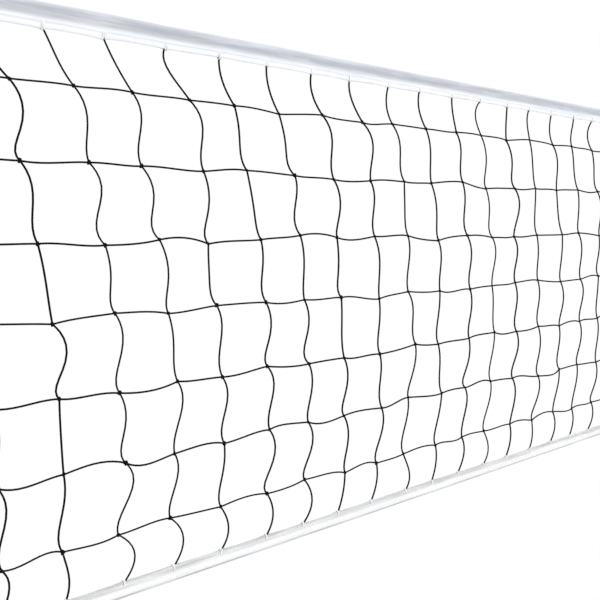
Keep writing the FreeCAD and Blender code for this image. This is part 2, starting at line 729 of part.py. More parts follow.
def tube_along(label, edges, radius):
    """A round tube along joined edges, checked against its section times its length."""
    bends = [edge.Curve.Radius for edge in edges if hasattr(edge.Curve, "Radius")]
    print(f"{label}: {sum(edge.Length for edge in edges):.0f} mm long, tightest bend {min(bends):.1f} mm")
    path = Part.Wire(edges)
    start = edges[0]
    at = start.valueAt(start.FirstParameter)
    along = start.tangentAt(start.FirstParameter)
    ring = Part.Wire([Part.Circle(at, along, radius).toShape()])
    tube = path.makePipeShell([ring], True, False)
    wanted = math.pi * radius**2 * path.Length
    if abs(tube.Volume - wanted) > 0.01 * wanted:
        raise RuntimeError(f"a tube holds {tube.Volume:.0f} cubic mm and not {wanted:.0f}")
    return tube


def u_bolts():
    """Two U-bolts round the mast that hold the winch, each with two nuts."""
    x, bend = val(RIGHT_X), val("mast_radius + clear_gap + strap_radius")
    end = val(f"{FRAME_FACE_X} + strap_past")
    solids = []
    for height in strap_heights():
        z = val(height)
        route = [
            Part.LineSegment(V(end, bend, z), V(x, bend, z)).toShape(),
            Part.Arc(V(x, bend, z), V(x - bend, 0, z), V(x, -bend, z)).toShape(),
            Part.LineSegment(V(x, -bend, z), V(end, -bend, z)).toShape(),
        ]
        solids.append(tube_along("winch U-bolt", route, val("strap_radius")))
        for y in (-bend, bend):
            face = V(val(FRAME_FACE_X), y, z)
            nut = Part.Face(hexagon_wire(face, val("hex_mid"))).extrude(V(val("strap_nut"), 0, 0))
            bore = Part.makeCylinder(val("strap_radius + turn_gap"), val("2 * strap_nut"), face, V(1, 0, 0))
            solids.append(nut.cut(bore))
    fixed_shape("winch_u_bolts", Part.makeCompound(solids))


def hexagon_wire(centre, half_flats):
    """A hexagon round a point, square to X."""
    corner = half_flats / math.cos(math.radians(30))
    points = [
        centre + V(0, corner * math.cos(math.radians(60 * k)), corner * math.sin(math.radians(60 * k)))
        for k in range(7)
    ]
    return Part.Wire(lines(points))


def drum():
    """The spool that winds the cable, with the hub that its gear is pressed on."""
    core = "wrap_radius - cable_radius - clear_gap"
    bore = "axle_radius + turn_gap"
    turned(
        "drum_spool",
        [
            (bore, f"-{DRUM_BACK}"),
            ("drum_rim", f"-{DRUM_BACK}"),
            ("drum_rim", f"drum_flange - {DRUM_BACK}"),
            (core, f"drum_flange - {DRUM_BACK}"),
            (core, f"{DRUM_FRONT} - drum_flange"),
            ("drum_rim", f"{DRUM_FRONT} - drum_flange"),
            ("drum_rim", DRUM_FRONT),
            ("hub_radius", DRUM_FRONT),
            ("hub_radius", GEAR_FRONT),
            (bore, GEAR_FRONT),
        ],
        (DRUM_X, "0", DRUM_Z),
        "-Y",
    )
    shank = cylinder(
        "axle_radius",
        f"{FRAME_BACK} + {FRAME_FRONT} + 2 * frame_plate + nut_thick + thread_past",
        (DRUM_X, f"-({FRAME_FRONT} + frame_plate)", DRUM_Z),
        "Y",
    )
    head = hexagon("hex_big", "head_thick", (DRUM_X, f"-({FRAME_FRONT} + frame_plate)", DRUM_Z), "-Y")
    nut = hexagon("hex_big", "nut_thick", (DRUM_X, f"{FRAME_BACK} + frame_plate", DRUM_Z), "Y")
    nut_bore = cylinder("axle_radius + turn_gap", "2 * back_width", (DRUM_X, "-back_width", DRUM_Z), "Y")
    keep("drum_axle", group(join(shank, head), cut(nut, nut_bore)))


def tooth_flank(teeth, radius):
    """Half the angle in degrees that a tooth takes up at a radius outside its base circle."""
    pitch_r = val("gear_module") * teeth / 2
    base_r = pitch_r * math.cos(math.radians(val("pressure_angle")))
    involute = lambda angle: math.tan(angle) - angle
    half = math.pi / (2 * teeth) - val("backlash") / (4 * pitch_r)
    half += involute(math.radians(val("pressure_angle"))) - involute(math.acos(base_r / radius))
    return math.degrees(half)


def gear_outline(centre, teeth, phase):
    """Edges of a spur gear in the XZ plane, with a tooth centred on the angle phase."""
    module = val("gear_module")
    tip = module * (teeth / 2 + val("addendum"))
    root = module * (teeth / 2 - val("dedendum"))
    base = module * teeth / 2 * math.cos(math.radians(val("pressure_angle")))
    low = max(base + 0.01 * module, root)
    middle = (low + tip) / 2
    edges, step = [], 360 / teeth
    for number in range(teeth):
        angle = phase + number * step
        at = lambda radius, side: polar(centre, radius, angle + side * tooth_flank(teeth, radius))
        foot = lambda side: polar(centre, root, angle + side * tooth_flank(teeth, low))
        edges += lines([foot(-1), at(low, -1)]) if low > root else []
        edges.append(Part.Arc(at(low, -1), at(middle, -1), at(tip, -1)).toShape())
        edges.append(Part.Arc(at(tip, -1), polar(centre, tip, angle), at(tip, 1)).toShape())
        edges.append(Part.Arc(at(tip, 1), at(middle, 1), at(low, 1)).toShape())
        edges += lines([at(low, 1), foot(1)]) if low > root else []
        half_gap = step / 2 - tooth_flank(teeth, low)
        start = polar(centre, root, angle + step / 2 - half_gap)
        end = polar(centre, root, angle + step / 2 + half_gap)
        edges.append(Part.Arc(start, polar(centre, root, angle + step / 2), end).toShape())
    return edges


def winch_gears():
    """The drum gear and, on the crank shaft below it, the pinion that meshes with it."""
    drum_centre = V(val(DRUM_X), 0, val(DRUM_Z))
    shaft_centre = V(val(DRUM_X), 0, val(SHAFT_Z))
    back, thick = -val(DRUM_FRONT), val("gear_thick")
    gap_down = -90 + 180 / val("drum_teeth")
    gear = plate_along_net(gear_outline(drum_centre, int(val("drum_teeth")), gap_down), back, thick)
    bore_start = drum_centre + V(0, back + thick, 0)
    bore = Part.makeCylinder(val("hub_radius + turn_gap"), 3 * thick, bore_start, V(0, -1, 0))
    fixed_shape("drum_gear", gear.cut(bore))

    pinion = plate_along_net(gear_outline(shaft_centre, int(val("pinion_teeth")), 90), back, thick)
    back_end = val(f"{FRAME_BACK} + frame_plate + clear_gap")
    front_end = val(f"{CRANK_BACK} + crank_thick")
    shaft = Part.makeCylinder(
        val("shaft_radius"), back_end + front_end, shaft_centre + V(0, back_end, 0), V(0, -1, 0)
    )
    end = Part.makeCylinder(
        val("shaft_end"), val("frame_plate") / 2, shaft_centre + V(0, back_end, 0), V(0, 1, 0)
    )
    thread = Part.makeCylinder(
        val("shaft_thread"), val("crank_nut + thread_past"), shaft_centre - V(0, front_end, 0), V(0, -1, 0)
    )
    fixed_shape("pinion_shaft", pinion.multiFuse([shaft, end, thread]).removeSplitter())


def ratchet():
    """The saw-toothed wheel on the crank shaft and the pawl that stops it turning back."""
    centre = V(val(DRUM_X), 0, val(SHAFT_Z))
    tip, root, teeth = val("ratchet_tip"), val("ratchet_root"), int(val("ratchet_teeth"))
    step, hold = 360 / teeth, val("pawl_angle")
    corners = []
    for number in range(teeth):
        steep = hold + number * step
        corners += [polar(centre, tip, steep), polar(centre, root, steep)]
    back = -val(RATCHET_BACK)
    wheel = plate_along_net(lines(corners + corners[:1]), back, val("ratchet_thick"))
    front = centre + V(0, back - val("ratchet_thick"), 0)
    hub = Part.makeCylinder(val("ratchet_hub"), val("ratchet_hub_long"), front, V(0, -1, 0))
    bore = Part.makeCylinder(
        val("shaft_radius + turn_gap"), val("4 * ratchet_hub_long"), centre + V(0, back + 1, 0), V(0, -1, 0)
    )
    fixed_shape("ratchet_wheel", wheel.fuse(hub).cut(bore))

    pivot = centre + V(val("pawl_out"), 0, val("pawl_up"))
    boss, gap = val("pawl_boss"), val("clear_gap")
    held = hold + math.degrees(val("pawl_gap") / root)
    nose = polar(centre, root + 2 * gap, held)
    over_tip = polar(centre, tip + 2 * gap, hold + step / 4)
    inner = pivot + V(-boss, 0, 0)
    outer = pivot + V(boss, 0, 0)
    heel = polar(centre, tip + boss, held)
    back_of_nose = polar(centre, tip, held)
    lift = FreeCAD.Rotation(V(0, -1, 0), val("pawl_rest"))
    corners = [inner, over_tip, nose, back_of_nose, heel, outer, pivot + V(0, 0, boss)]
    *corners, over_boss = [pivot + lift.multVec(corner - pivot) for corner in corners]
    outline = lines(corners)
    outline.append(Part.Arc(corners[-1], over_boss, corners[0]).toShape())
    pawl_back = back - (val("ratchet_thick") - val("pawl_thick")) / 2
    pawl = plate_along_net(outline, pawl_back, val("pawl_thick"))
    pin_hole = Part.makeCylinder(
        val("pawl_pin_radius + turn_gap"), 3 * val("pawl_thick"), pivot + V(0, pawl_back + 1, 0), V(0, -1, 0)
    )
    fixed_shape("pawl", pawl.cut(pin_hole))

    spring_back = pawl_back - val("pawl_thick + 3 * clear_gap + spring_wire")
    spring_long = val("spring_turns * spring_pitch")
    pin_start = -val(f"{FRAME_FRONT} + turn_gap")
    pin_end = spring_back - spring_long - val("spring_wire + clear_gap")
    pin_at = pivot + V(0, pin_start, 0)
    pin = Part.makeCylinder(val("pawl_pin_radius"), pin_start - pin_end, pin_at, V(0, -1, 0))
    cap = Part.makeCylinder(
        val("pawl_pin_head"), val("pawl_pin_head_thick"), pivot + V(0, pin_end, 0), V(0, -1, 0)
    )
    fixed_shape("pawl_pin", pin.fuse(cap))
    coil_start, pitch = pivot + V(0, spring_back, 0), -val("spring_pitch")
    coil = coil_edges(coil_start, val("spring_radius"), pitch, val("spring_turns"), -90)
    spring = straight_ends(coil, val("spring_leg"))
    print_least_gap("pawl spring", spring, val("spring_wire"))
    fixed_shape("pawl_spring", tube_along("pawl spring", spring, val("spring_wire")))


def biarc(p0, t0, p1, t1):
    """Two arcs from p0 to p1 that leave along t0, arrive along t1 and meet smoothly."""
    chord, both = p1 - p0, t0 + t1
    spread = 2 * (1 - t0.dot(t1))
    reach = (math.sqrt(chord.dot(both) ** 2 + spread * chord.dot(chord)) - chord.dot(both)) / spread
    corner0, corner1 = p0 + t0 * reach, p1 - t1 * reach
    joint = (corner0 + corner1) * 0.5
    arcs = []
    for start, corner, end in ((p0, corner0, joint), (joint, corner1, p1)):
        middle = (start + end) * 0.5
        half_chord = (end - start).Length / 2
        half_angle = math.acos(half_chord / reach)
        rise = half_chord * math.tan(half_angle / 2)
        top = middle + (corner - middle).normalize() * rise
        arcs.append(Part.Arc(start, top, end).toShape())
    return arcs


def coil_edges(centre, radius, pitch, turns, start):
    """A coil about the Y axis, as biarcs of a quarter turn, from an angle in degrees. Pitch is along Y."""
    slope = pitch / (2 * math.pi * radius)

    def point(angle):
        along = pitch * (angle - first) / (2 * math.pi)
        return centre + V(radius * math.cos(angle), along, radius * math.sin(angle))

    def tangent(angle):
        return V(-math.sin(angle), slope, math.cos(angle)).normalize()

    first = math.radians(start)
    edges = []
    for quarter in range(int(4 * turns)):
        a, b = first + quarter * math.pi / 2, first + (quarter + 1) * math.pi / 2
        edges += biarc(point(a), tangent(a), point(b), tangent(b))
    return edges


def straight_ends(edges, length):
    """The same path with a straight run added at each end, in the direction that it leaves in."""
    first, last = edges[0], edges[-1]
    start, finish = first.valueAt(first.FirstParameter), last.valueAt(last.LastParameter)
    before = start - first.tangentAt(first.FirstParameter) * length
    after = finish + last.tangentAt(last.LastParameter) * length
    return lines([before, start]) + edges + lines([finish, after])


def print_least_gap(label, edges, radius):
    """Measures, on points along a tube's path, how near one turn comes to another."""
    step = radius / 2
    points = [point for edge in edges for point in edge.discretize(Distance=step)[:-1]]
    beyond = round(math.pi * 2 * radius / step)
    nearest = min(
        point.distanceToPoint(other)
        for number, point in enumerate(points)
        for other in points[number + beyond :]
    )
    print(f"{label}: {nearest - 2 * radius:.2f} mm from its own next turn")


def cable_winding():
    """The cable's stored turns, which turn with the drum, beside the lane of the cable's live end."""
    centre = V(val(DRUM_X), -val("wrap_pitch"), val(DRUM_Z))
    coil = coil_edges(centre, val("wrap_radius"), -val("wrap_pitch"), val("wraps"), 180)
    path = straight_ends(coil, val("2 * cable_radius"))
    print_least_gap("cable winding", path, val("cable_radius"))
    fixed_shape("cable_winding", tube_along("cable winding", path, val("cable_radius")))


def crank():
    """The crank arm, its nut, the pin that its grip turns on, and the grip."""
    y = f"-{CRANK_BACK}"
    low = f"({SHAFT_Z} - crank_radius)"
    hub = cylinder("crank_hub", "crank_thick", (DRUM_X, y, SHAFT_Z), "-Y")
    end = cylinder("crank_width / 2", "crank_thick", (DRUM_X, y, low), "-Y")
    bar_low = (f"{DRUM_X} - crank_width / 2", f"{y} - crank_thick", low)
    bar = box("crank_width", "crank_thick", "crank_radius", bar_low)
    hole_start = (DRUM_X, f"{y} + crank_thick", SHAFT_Z)
    shaft_hole = cylinder("shaft_radius + turn_gap", "4 * crank_thick", hole_start, "-Y")
    pin_hole = cylinder("grip_pin + turn_gap", "4 * crank_thick", (DRUM_X, f"{y} + crank_thick", low), "-Y")
    keep("crank_arm", cut(join(hub, end, bar), shaft_hole, pin_hole))
    face = f"{y} - crank_thick"
    nut = hexagon("hex_pin", "crank_nut", (DRUM_X, face, SHAFT_Z), "-Y")
    nut_bore = cylinder("shaft_thread + turn_gap", "2 * crank_nut", (DRUM_X, face, SHAFT_Z), "-Y")
    keep("crank_nut", cut(nut, nut_bore))
    grip_start = f"({face} - grip_stand_off)"
    pin_long = "crank_thick + grip_stand_off + grip_length + clear_gap"
    pin = cylinder("grip_pin", pin_long, (DRUM_X, y, low), "-Y")
    head = cylinder("grip_head", "grip_stand_off", (DRUM_X, f"{y} - ({pin_long})", low), "-Y")
    keep("grip_pin", join(pin, head))
    bore, ring = "grip_pin + slip_gap", "grip_radius"
    turned(
        "crank_grip",
        [
            (bore, "0"),
            (f"{ring} - grip_round", "0"),
            (ring, "grip_round"),
            (ring, "grip_length - grip_round"),
            (f"{ring} - grip_round", "grip_length"),
            (bore, "grip_length"),
        ],
        (DRUM_X, grip_start, low),
        "-Y",
    )


# The head cable and the ropes
def tangent_point(centre, radius, outside, side):
    """Where a line from a point touches a circle in the XZ or XY plane, as an offset (along, across)."""
    along, across = outside[0] - centre[0], outside[1] - centre[1]
    distance = math.hypot(along, across)
    angle = math.atan2(across, along) + side * math.acos(radius / distance)
    return centre[0] + radius * math.cos(angle), centre[1] + radius * math.sin(angle)


def eye_points(centre, radius, knot, gap, way):
    """The corners and circle points of a cord's end loop, as (along, across) pairs.

    The loop goes round a circle. Its two legs meet at the distance knot from the centre, gap apart,
    and way is the direction, along, that the cord leaves in."""
    tail = (centre[0] + way * knot, centre[1] - gap / 2)
    main = (centre[0] + way * knot, centre[1] + gap / 2)
    low = tangent_point(centre, radius, tail, -way)
    high = tangent_point(centre, radius, main, way)
    far = (centre[0] - way * radius, centre[1])
    return tail, low, far, high, main


def loop_edges(to_space, end_x, eye, main_end_x, bend):
    """A cord's tail, its loop and its straight run, as straight edges joined by tangent arcs."""
    tail, low, far, high, main = (to_space(*point) for point in eye)
    start, finish = to_space(end_x, eye[0][1]), to_space(main_end_x, eye[4][1])
    first = rounded(start, tail, low, bend)
    second = rounded(high, main, finish, bend)
    return first + [Part.Arc(low, far, high).toShape()] + second


def rounded(a, corner, b, radius):
    """Two straight edges with an arc in their corner."""
    to_a, to_b = (a - corner).normalize(), (b - corner).normalize()
    half = to_a.getAngle(to_b) / 2
    cut_off = radius / math.tan(half)
    middle = corner + (to_a + to_b).normalize() * (radius / math.sin(half) - radius)
    p, q = corner + to_a * cut_off, corner + to_b * cut_off
    return [
        Part.LineSegment(a, p).toShape(),
        Part.Arc(p, middle, q).toShape(),
        Part.LineSegment(q, b).toShape(),
    ]


PIN_Z = "(cable_height - leg_gap / 2)"


def head_cable():
    """From its tail in the ferrule round the thimble, along the net, over the pulley and round the drum."""
    z, left, right = val("cable_height"), -val(POST_OUT), val(POST_OUT)
    centre = (left, val(PIN_Z))
    eye = eye_points(centre, val("eye_radius"), val("eye_knot"), val("leg_gap"), 1)
    tail_x = left + val("eye_knot + ferrule_from_knot + ferrule_length + tail_past")
    in_xz = lambda along, across: V(along, 0, across)
    edges = loop_edges(in_xz, tail_x, eye, right, val("10 * cable_radius"))
    radius = val("pulley_radius")
    axle = V(right, 0, val(PULLEY_Z))
    top, side = V(right, 0, z), V(right + radius, 0, val(PULLEY_Z))
    edges.append(Part.Arc(top, polar(axle, radius, 45), side).toShape())
    drum_centre = V(val(DRUM_X), 0, val(DRUM_Z))
    wrap, arc = val("wrap_radius"), val("wrap_arc")
    meet = polar(drum_centre, wrap, 180)
    edges.append(Part.LineSegment(side, meet).toShape())
    half, end = polar(drum_centre, wrap, 180 + arc / 2), polar(drum_centre, wrap, 180 + arc)
    edges.append(Part.Arc(meet, polar(drum_centre, wrap, 180 + arc / 4), half).toShape())
    edges.append(Part.Arc(half, polar(drum_centre, wrap, 180 + 3 * arc / 4), end).toShape())
    fixed_shape("head_cable", tube_along("head cable", edges, val("cable_radius")))


def cable_end_fittings():
    """The grooved thimble on the anchor pin and the ferrule pressed round the cable's two legs."""
    x = post_x(-1)
    half, groove = "thimble_width / 2", "eye_radius - cable_radius - clear_gap"
    bore = "anchor_pin + clear_gap"
    turned(
        "cable_thimble",
        [
            (bore, f"-{half}"),
            ("thimble_rim", f"-{half}"),
            (groove, "-groove_half"),
            (groove, "groove_half"),
            ("thimble_rim", half),
            (bore, half),
        ],
        (x, "0", PIN_Z),
        "Y",
    )
    start = f"{x} + eye_knot + ferrule_from_knot"
    outer = "(cable_radius + ferrule_wall)"
    upper, lower = "cable_height", "(cable_height - leg_gap)"
    sleeve = [
        box("ferrule_length", f"2 * {outer}", "leg_gap", (start, f"-{outer}", lower)),
        cylinder(outer, "ferrule_length", (start, "0", upper), "X"),
        cylinder(outer, "ferrule_length", (start, "0", lower), "X"),
    ]
    bore_x = f"{start} - ferrule_length / 2"
    bores = [
        cylinder("cable_radius + slip_gap", "2 * ferrule_length", (bore_x, "0", height), "X")
        for height in (upper, lower)
    ]
    keep("cable_ferrule", cut(join(*sleeve), *bores))


ROPE_Z = "(cable_height - net_drop + hem_radius)"


def bottom_rope():
    """From the left post's lower eye through the bottom band to the right post's, knotted at both."""
    z, gap = val(ROPE_Z), val("2 * rope_radius + rope_play")
    knot, bend, past = val("rope_knot"), val("10 * rope_radius"), val("knot_radius + rope_radius")
    seat = seat_depth(val("rope_eye"), val("rope_radius"), val("hook_eye"), val("hook_plate") / 2 + gap / 2)
    in_xy = lambda along, across: V(along, across, z)
    ends, knots = [], []
    for way in (1, -1):
        centre = (-way * (val(f"{POST_OUT} - hook_reach") - seat), -gap / 2)
        eye = eye_points(centre, val("rope_eye"), knot, gap, way)
        ends.append(loop_edges(in_xy, centre[0] + way * (knot + past), eye, 0, bend))
        knots.append(Part.makeSphere(val("knot_radius"), V(centre[0] + way * knot, -gap / 2, z)))
    left, right = ends
    long_run = Part.LineSegment(left[-1].firstVertex().Point, right[-1].firstVertex().Point).toShape()
    back = [edge for edge in reversed(right[:-1])]
    edges = Part.sortEdges(left[:-1] + [long_run] + back)[0]
    fixed_shape("bottom_rope", tube_along("bottom rope", edges, val("rope_radius")).multiFuse(knots))


def seat_depth(radius, cord, hole, half_thick):
    """From a hole's centre to the centre of a cord's bend that bears on the hole's rim."""
    return hole - val("clear_gap") + math.sqrt((radius - cord) ** 2 - half_thick**2)


def tie_cords():
    """Closed lashings between the masts' eyes and the side bands' eyelets, round the side rods."""
    radius, cord = val("rod_radius + sleeve_wall + 2 * clear_gap + tie_radius"), val("tie_radius")
    hook_seat = seat_depth(radius, cord, val("hook_eye"), val("hook_plate / 2"))
    rim = val("band_thick / 2 + slip_gap + eyelet_barrel")
    eyelet_seat = seat_depth(radius, cord, val("eyelet_radius"), rim)
    solids = []
    for sign in (-1, 1):
        for eyelet, hook in TIES:
            near = V(sign * val(f"{POST_OUT} - hook_reach"), 0, val(f"cable_height - {hook}"))
            far = V(sign * val("net_length / 2 - eyelet_from_edge"), 0, val(f"cable_height - {eyelet}"))
            along = (far - near).normalize()
            a, b, side = near + along * hook_seat, far - along * eyelet_seat, V(0, radius, 0)
            route = [
                Part.LineSegment(a + side, b + side).toShape(),
                Part.Arc(b + side, b + along * radius, b - side).toShape(),
                Part.LineSegment(b - side, a - side).toShape(),
                Part.Arc(a - side, a - along * radius, a + side).toShape(),
            ]
            knot = Part.makeSphere(val("tie_knot_radius"), a * 0.75 + b * 0.25 - side)
            solids.append(tube_along("tie cord", route, cord).fuse(knot))
    fixed_shape("tie_cords", Part.makeCompound(solids))


TIES = (("upper_eyelet", "upper_hook"), ("middle_hook", "middle_hook"))


# The net
BAND_LOW = "(cable_height - top_band_drop)"
HEM_TOP = "(cable_height - net_drop + bottom_band_rise)"


def bands():
    """White tape: rolled round the cable and the bottom rope, and sewn round the rods at the ends."""
    start, half = "-net_length / 2", "band_thick / 2"
    roll = cylinder("roll_radius", "net_length", (start, "0", "cable_height"), "X")
    flap = box("net_length", "band_thick", "top_band_drop", (start, f"-{half}", BAND_LOW))
    bore = cylinder("cable_radius + clear_gap", "2 * net_length", ("-net_length", "0", "cable_height"), "X")
    keep("top_band", cut(join(roll, flap), bore))
    hem = cylinder("hem_radius", "net_length", (start, "0", ROPE_Z), "X")
    hem_flap = box("net_length", "band_thick", "bottom_band_rise - hem_radius", (start, f"-{half}", ROPE_Z))
    hem_bore = cylinder("rope_radius + clear_gap", "2 * net_length", ("-net_length", "0", ROPE_Z), "X")
    keep("bottom_band", cut(join(hem, hem_flap), hem_bore))
    tall = f"({BAND_LOW} - {HEM_TOP})"
    rods = []
    for side, sign in POSTS:
        sleeve_r = "(rod_radius + clear_gap + sleeve_wall)"
        rod_x = f"{sign} * (net_length / 2 - {sleeve_r})"
        inner_x = "net_length / 2 - side_band"
        flat = box(
            f"side_band - {sleeve_r}",
            "band_thick",
            tall,
            (rod_x if sign < 0 else inner_x, f"-{half}", HEM_TOP),
        )
        sleeve = cylinder(sleeve_r, tall, (rod_x, "0", HEM_TOP))
        rod_bore = cylinder("rod_radius + clear_gap", f"2 * {tall}", (rod_x, "0", f"{HEM_TOP} - {tall} / 2"))
        eyelet_x = f"{sign} * (net_length / 2 - eyelet_from_edge)"
        holes = [
            cylinder(
                "eyelet_radius + eyelet_barrel + slip_gap",
                "4 * band_thick",
                (eyelet_x, "-2 * band_thick", f"cable_height - {eyelet}"),
                "Y",
            )
            for eyelet, _ in TIES
        ]
        keep(side + "_side_band", cut(join(flat, sleeve), rod_bore, *holes))
        rods.append(cylinder("rod_radius", f"{tall} - 2 * clear_gap", (rod_x, "0", f"{HEM_TOP} + clear_gap")))
    keep("side_rods", group(*rods))


def eyelets():
    """Brass eyelets set in the side bands, two at each end."""
    rings = []
    for _, sign in POSTS:
        for eyelet, _ in TIES:
            x, z = f"{sign} * (net_length / 2 - eyelet_from_edge)", f"cable_height - {eyelet}"
            half = "(band_thick / 2 + slip_gap)"
            barrel = cylinder("eyelet_radius + eyelet_barrel", f"2 * {half}", (x, f"-{half}", z), "Y")
            front = cylinder("eyelet_rim", "eyelet_barrel", (x, f"-{half}", z), "-Y")
            back = cylinder("eyelet_rim", "eyelet_barrel", (x, half, z), "Y")
            bore = cylinder("eyelet_radius", "8 * band_thick", (x, "-4 * band_thick", z), "Y")
            rings.append(cut(join(barrel, front, back), bore))
    keep("eyelets", group(*rings))


def rectangle(x0, x1, z0, z1, y):
    corners = [V(x0, y, z0), V(x1, y, z0), V(x1, y, z1), V(x0, y, z1), V(x0, y, z0)]
    return Part.Wire(lines(corners))


def net_mesh():
    """The knotted mesh as three flat panels, each one face with its holes, that meet on a column of twine."""
    pitch, twine, strand = val("mesh_pitch"), val("twine"), val("edge_strand")
    end = val("net_length / 2 - side_band")
    low, high = val(HEM_TOP), val(BAND_LOW)
    columns = math.ceil(2 * end / pitch)
    twines_x = [(number - columns / 2) * pitch for number in range(columns + 1)]
    top_row = val("cable_height + mesh_rise")
    rows = math.ceil((top_row - low - 2 * strand) / pitch)
    levels = [high] + [top_row - row * pitch for row in range(1, rows)] + [low]
    third = round(columns / 3)
    seams = [0, third, columns - third, columns]
    for name, first, last in zip(("left", "middle", "right"), seams, seams[1:]):
        x_first, x_last = max(twines_x[first], -end), min(twines_x[last], end)
        wires = [rectangle(x_first, x_last, low, high, twine / 2)]
        for column in range(first, last):
            x0, x1 = max(twines_x[column], -end), min(twines_x[column + 1], end)
            x0 += strand if x0 == -end else twine / 2
            x1 -= strand if x1 == end else twine / 2
            for upper, lower in zip(levels, levels[1:]):
                z1 = upper - (strand if upper == high else twine / 2)
                z0 = lower + (strand if lower == low else twine / 2)
                wires.append(rectangle(x0, x1, z0, z1, twine / 2))
        print(f"net_mesh_{name}: {len(wires) - 1} gaps")
        face = Part.makeFace(wires, "Part::FaceMakerBullseye")
        fixed_shape("net_mesh_" + name, face.extrude(V(0, -twine, 0)))


def check_document():
    """Stops if an object failed to compute or a sub-part isn't a whole, valid solid."""
    doc.recompute()
    for thing in doc.Objects:
        if {"Invalid", "Error"} & set(thing.State):
            raise RuntimeError(f"{thing.Name} ({thing.Label}) failed: {thing.State}")
    for label, thing in subparts.items():
        if thing.Shape.isNull() or not thing.Shape.isValid() or not thing.Shape.Solids:
            raise RuntimeError(f"{label} isn't a whole, valid solid")


for side, sign in POSTS:
    base_plate(side, sign)
    gussets(side, sign)
    outer_tube(side, sign)
    clamp_collar(side, sign)
    guide_bush(side, sign)
    clamp(side, sign)
    mast_tube(side, sign)
    net_hooks(side, sign)
head_bracket("left", -1, PIN_Z, "pin_round", "anchor_pin", "hex_pin")
head_bracket("right", 1, PULLEY_Z, "cheek_round", "axle_radius", "hex_big")
head_pulley()
winch_frame()
u_bolts()
drum()
winch_gears()
ratchet()
cable_winding()
crank()
head_cable()
cable_end_fittings()
bottom_rope()
tie_cords()
bands()
eyelets()
net_mesh()
check_document()

os.makedirs("parts", exist_ok=True)
for label, thing in subparts.items():
    thing.Shape.exportStep(f"parts/{label}.step")
print(f"{len(subparts)} sub-parts")
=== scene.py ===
# %% [markdown]
# # A volleyball net on two posts
#
# This scene dresses a volleyball net. The hard parts, which are the posts, the winch and the clamps, come
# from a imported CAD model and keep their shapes. They only get finishes and a few details such as weld
# beads. The soft parts are built here: the knotted black mesh, the white tape bands, their stitches and the
# ropes.
#
# Everything is in metres. X runs along the net, Z is up, and Y points to the back of the net.

import bpy
import json
import math
import numpy as np
from mathutils import Matrix, Vector


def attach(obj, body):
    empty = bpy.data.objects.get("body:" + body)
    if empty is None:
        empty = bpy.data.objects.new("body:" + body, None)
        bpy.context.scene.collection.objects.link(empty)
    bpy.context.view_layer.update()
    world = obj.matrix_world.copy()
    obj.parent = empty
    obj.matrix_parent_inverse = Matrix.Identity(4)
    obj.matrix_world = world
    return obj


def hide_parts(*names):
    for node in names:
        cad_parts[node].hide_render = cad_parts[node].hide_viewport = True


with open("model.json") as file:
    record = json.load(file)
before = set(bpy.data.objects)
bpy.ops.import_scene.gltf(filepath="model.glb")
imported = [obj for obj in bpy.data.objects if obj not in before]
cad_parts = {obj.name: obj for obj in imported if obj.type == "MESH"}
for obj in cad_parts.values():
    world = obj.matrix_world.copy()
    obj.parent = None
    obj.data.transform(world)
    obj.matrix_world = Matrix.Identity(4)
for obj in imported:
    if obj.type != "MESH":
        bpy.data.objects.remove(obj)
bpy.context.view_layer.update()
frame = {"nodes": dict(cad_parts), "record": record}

# %% [markdown]
# ## The camera
#
# The picture is taken close to the left half of the net, from its front, looking along it. Lines that are
# parallel on the net close up quickly to the right, which says how far the camera is turned. A camera looks
# along its own -Z, so the angles are given as a heading, a tilt and a roll, and made into one rotation.
# Depth of field stays off, so that every knot is sharp.

# %% Place the camera
CAMERA_AT = Vector((-1.891, -1.358, 2.083))
HEADING, TILT, ROLL = math.radians(-50.17), math.radians(-3.53), math.radians(-0.44)
FIELD_OF_VIEW = math.radians(30.85)

lens = bpy.data.cameras.new("camera")
lens.sensor_width = 36
lens.angle = FIELD_OF_VIEW
lens.clip_start, lens.clip_end = 0.05, 200
camera = bpy.data.objects.new("camera", lens)
bpy.context.scene.collection.objects.link(camera)
bpy.context.scene.camera = camera
level = Vector((math.cos(HEADING), math.sin(HEADING), 0))
ahead = Vector((-math.sin(HEADING) * math.cos(TILT), math.cos(HEADING) * math.cos(TILT), math.sin(TILT)))
upward = level.cross(ahead)
right = math.cos(ROLL) * level + math.sin(ROLL) * upward
camera.rotation_mode = "QUATERNION"
camera.rotation_quaternion = Matrix((right, right.cross(ahead), -ahead)).transposed().to_quaternion()
camera.location = CAMERA_AT
print("camera lens", round(lens.lens, 1), "mm, looking along", [round(c, 3) for c in ahead])

# %% [markdown]
# ## Light and floor
#
# The photograph has a white background and light from above, so the top of the white tape disappears in the
# background and the underside of its roll turns a cool grey. A large lamp overhead and another one high up
# in front of the net do that. The world adds a faintly bluish light from all sides, and shows plain white to
# the camera and in reflections.

# %% Light the studio
WORLD_FILL = (0.57, 0.575, 0.585, 1)
LAMPS = {
    # name: place, size, radiance, tilt about X in degrees
    "overhead lamp": ((0, -0.4, 6.0), (15, 7), 0.90, 0),
    "front lamp": ((0, -6.5, 4.6), (16, 4), 1.62, 70),
}


def empty_tree(owner):
    """The node tree of a world or a material, with nothing in it."""
    owner.use_nodes = True
    owner.node_tree.nodes.clear()
    return owner.node_tree


def add_node(tree, kind, *values, **settings):
    """Adds a node. Each value is a socket to join or a value to set, in the order of the node's inputs."""
    made = tree.nodes.new("ShaderNode" + kind)
    for name, value in settings.items():
        setattr(made, name, value)
    for socket, value in zip(made.inputs, values):
        if isinstance(value, bpy.types.NodeSocket):
            tree.links.new(value, socket)
        elif value is not None:
            socket.default_value = value
    return made


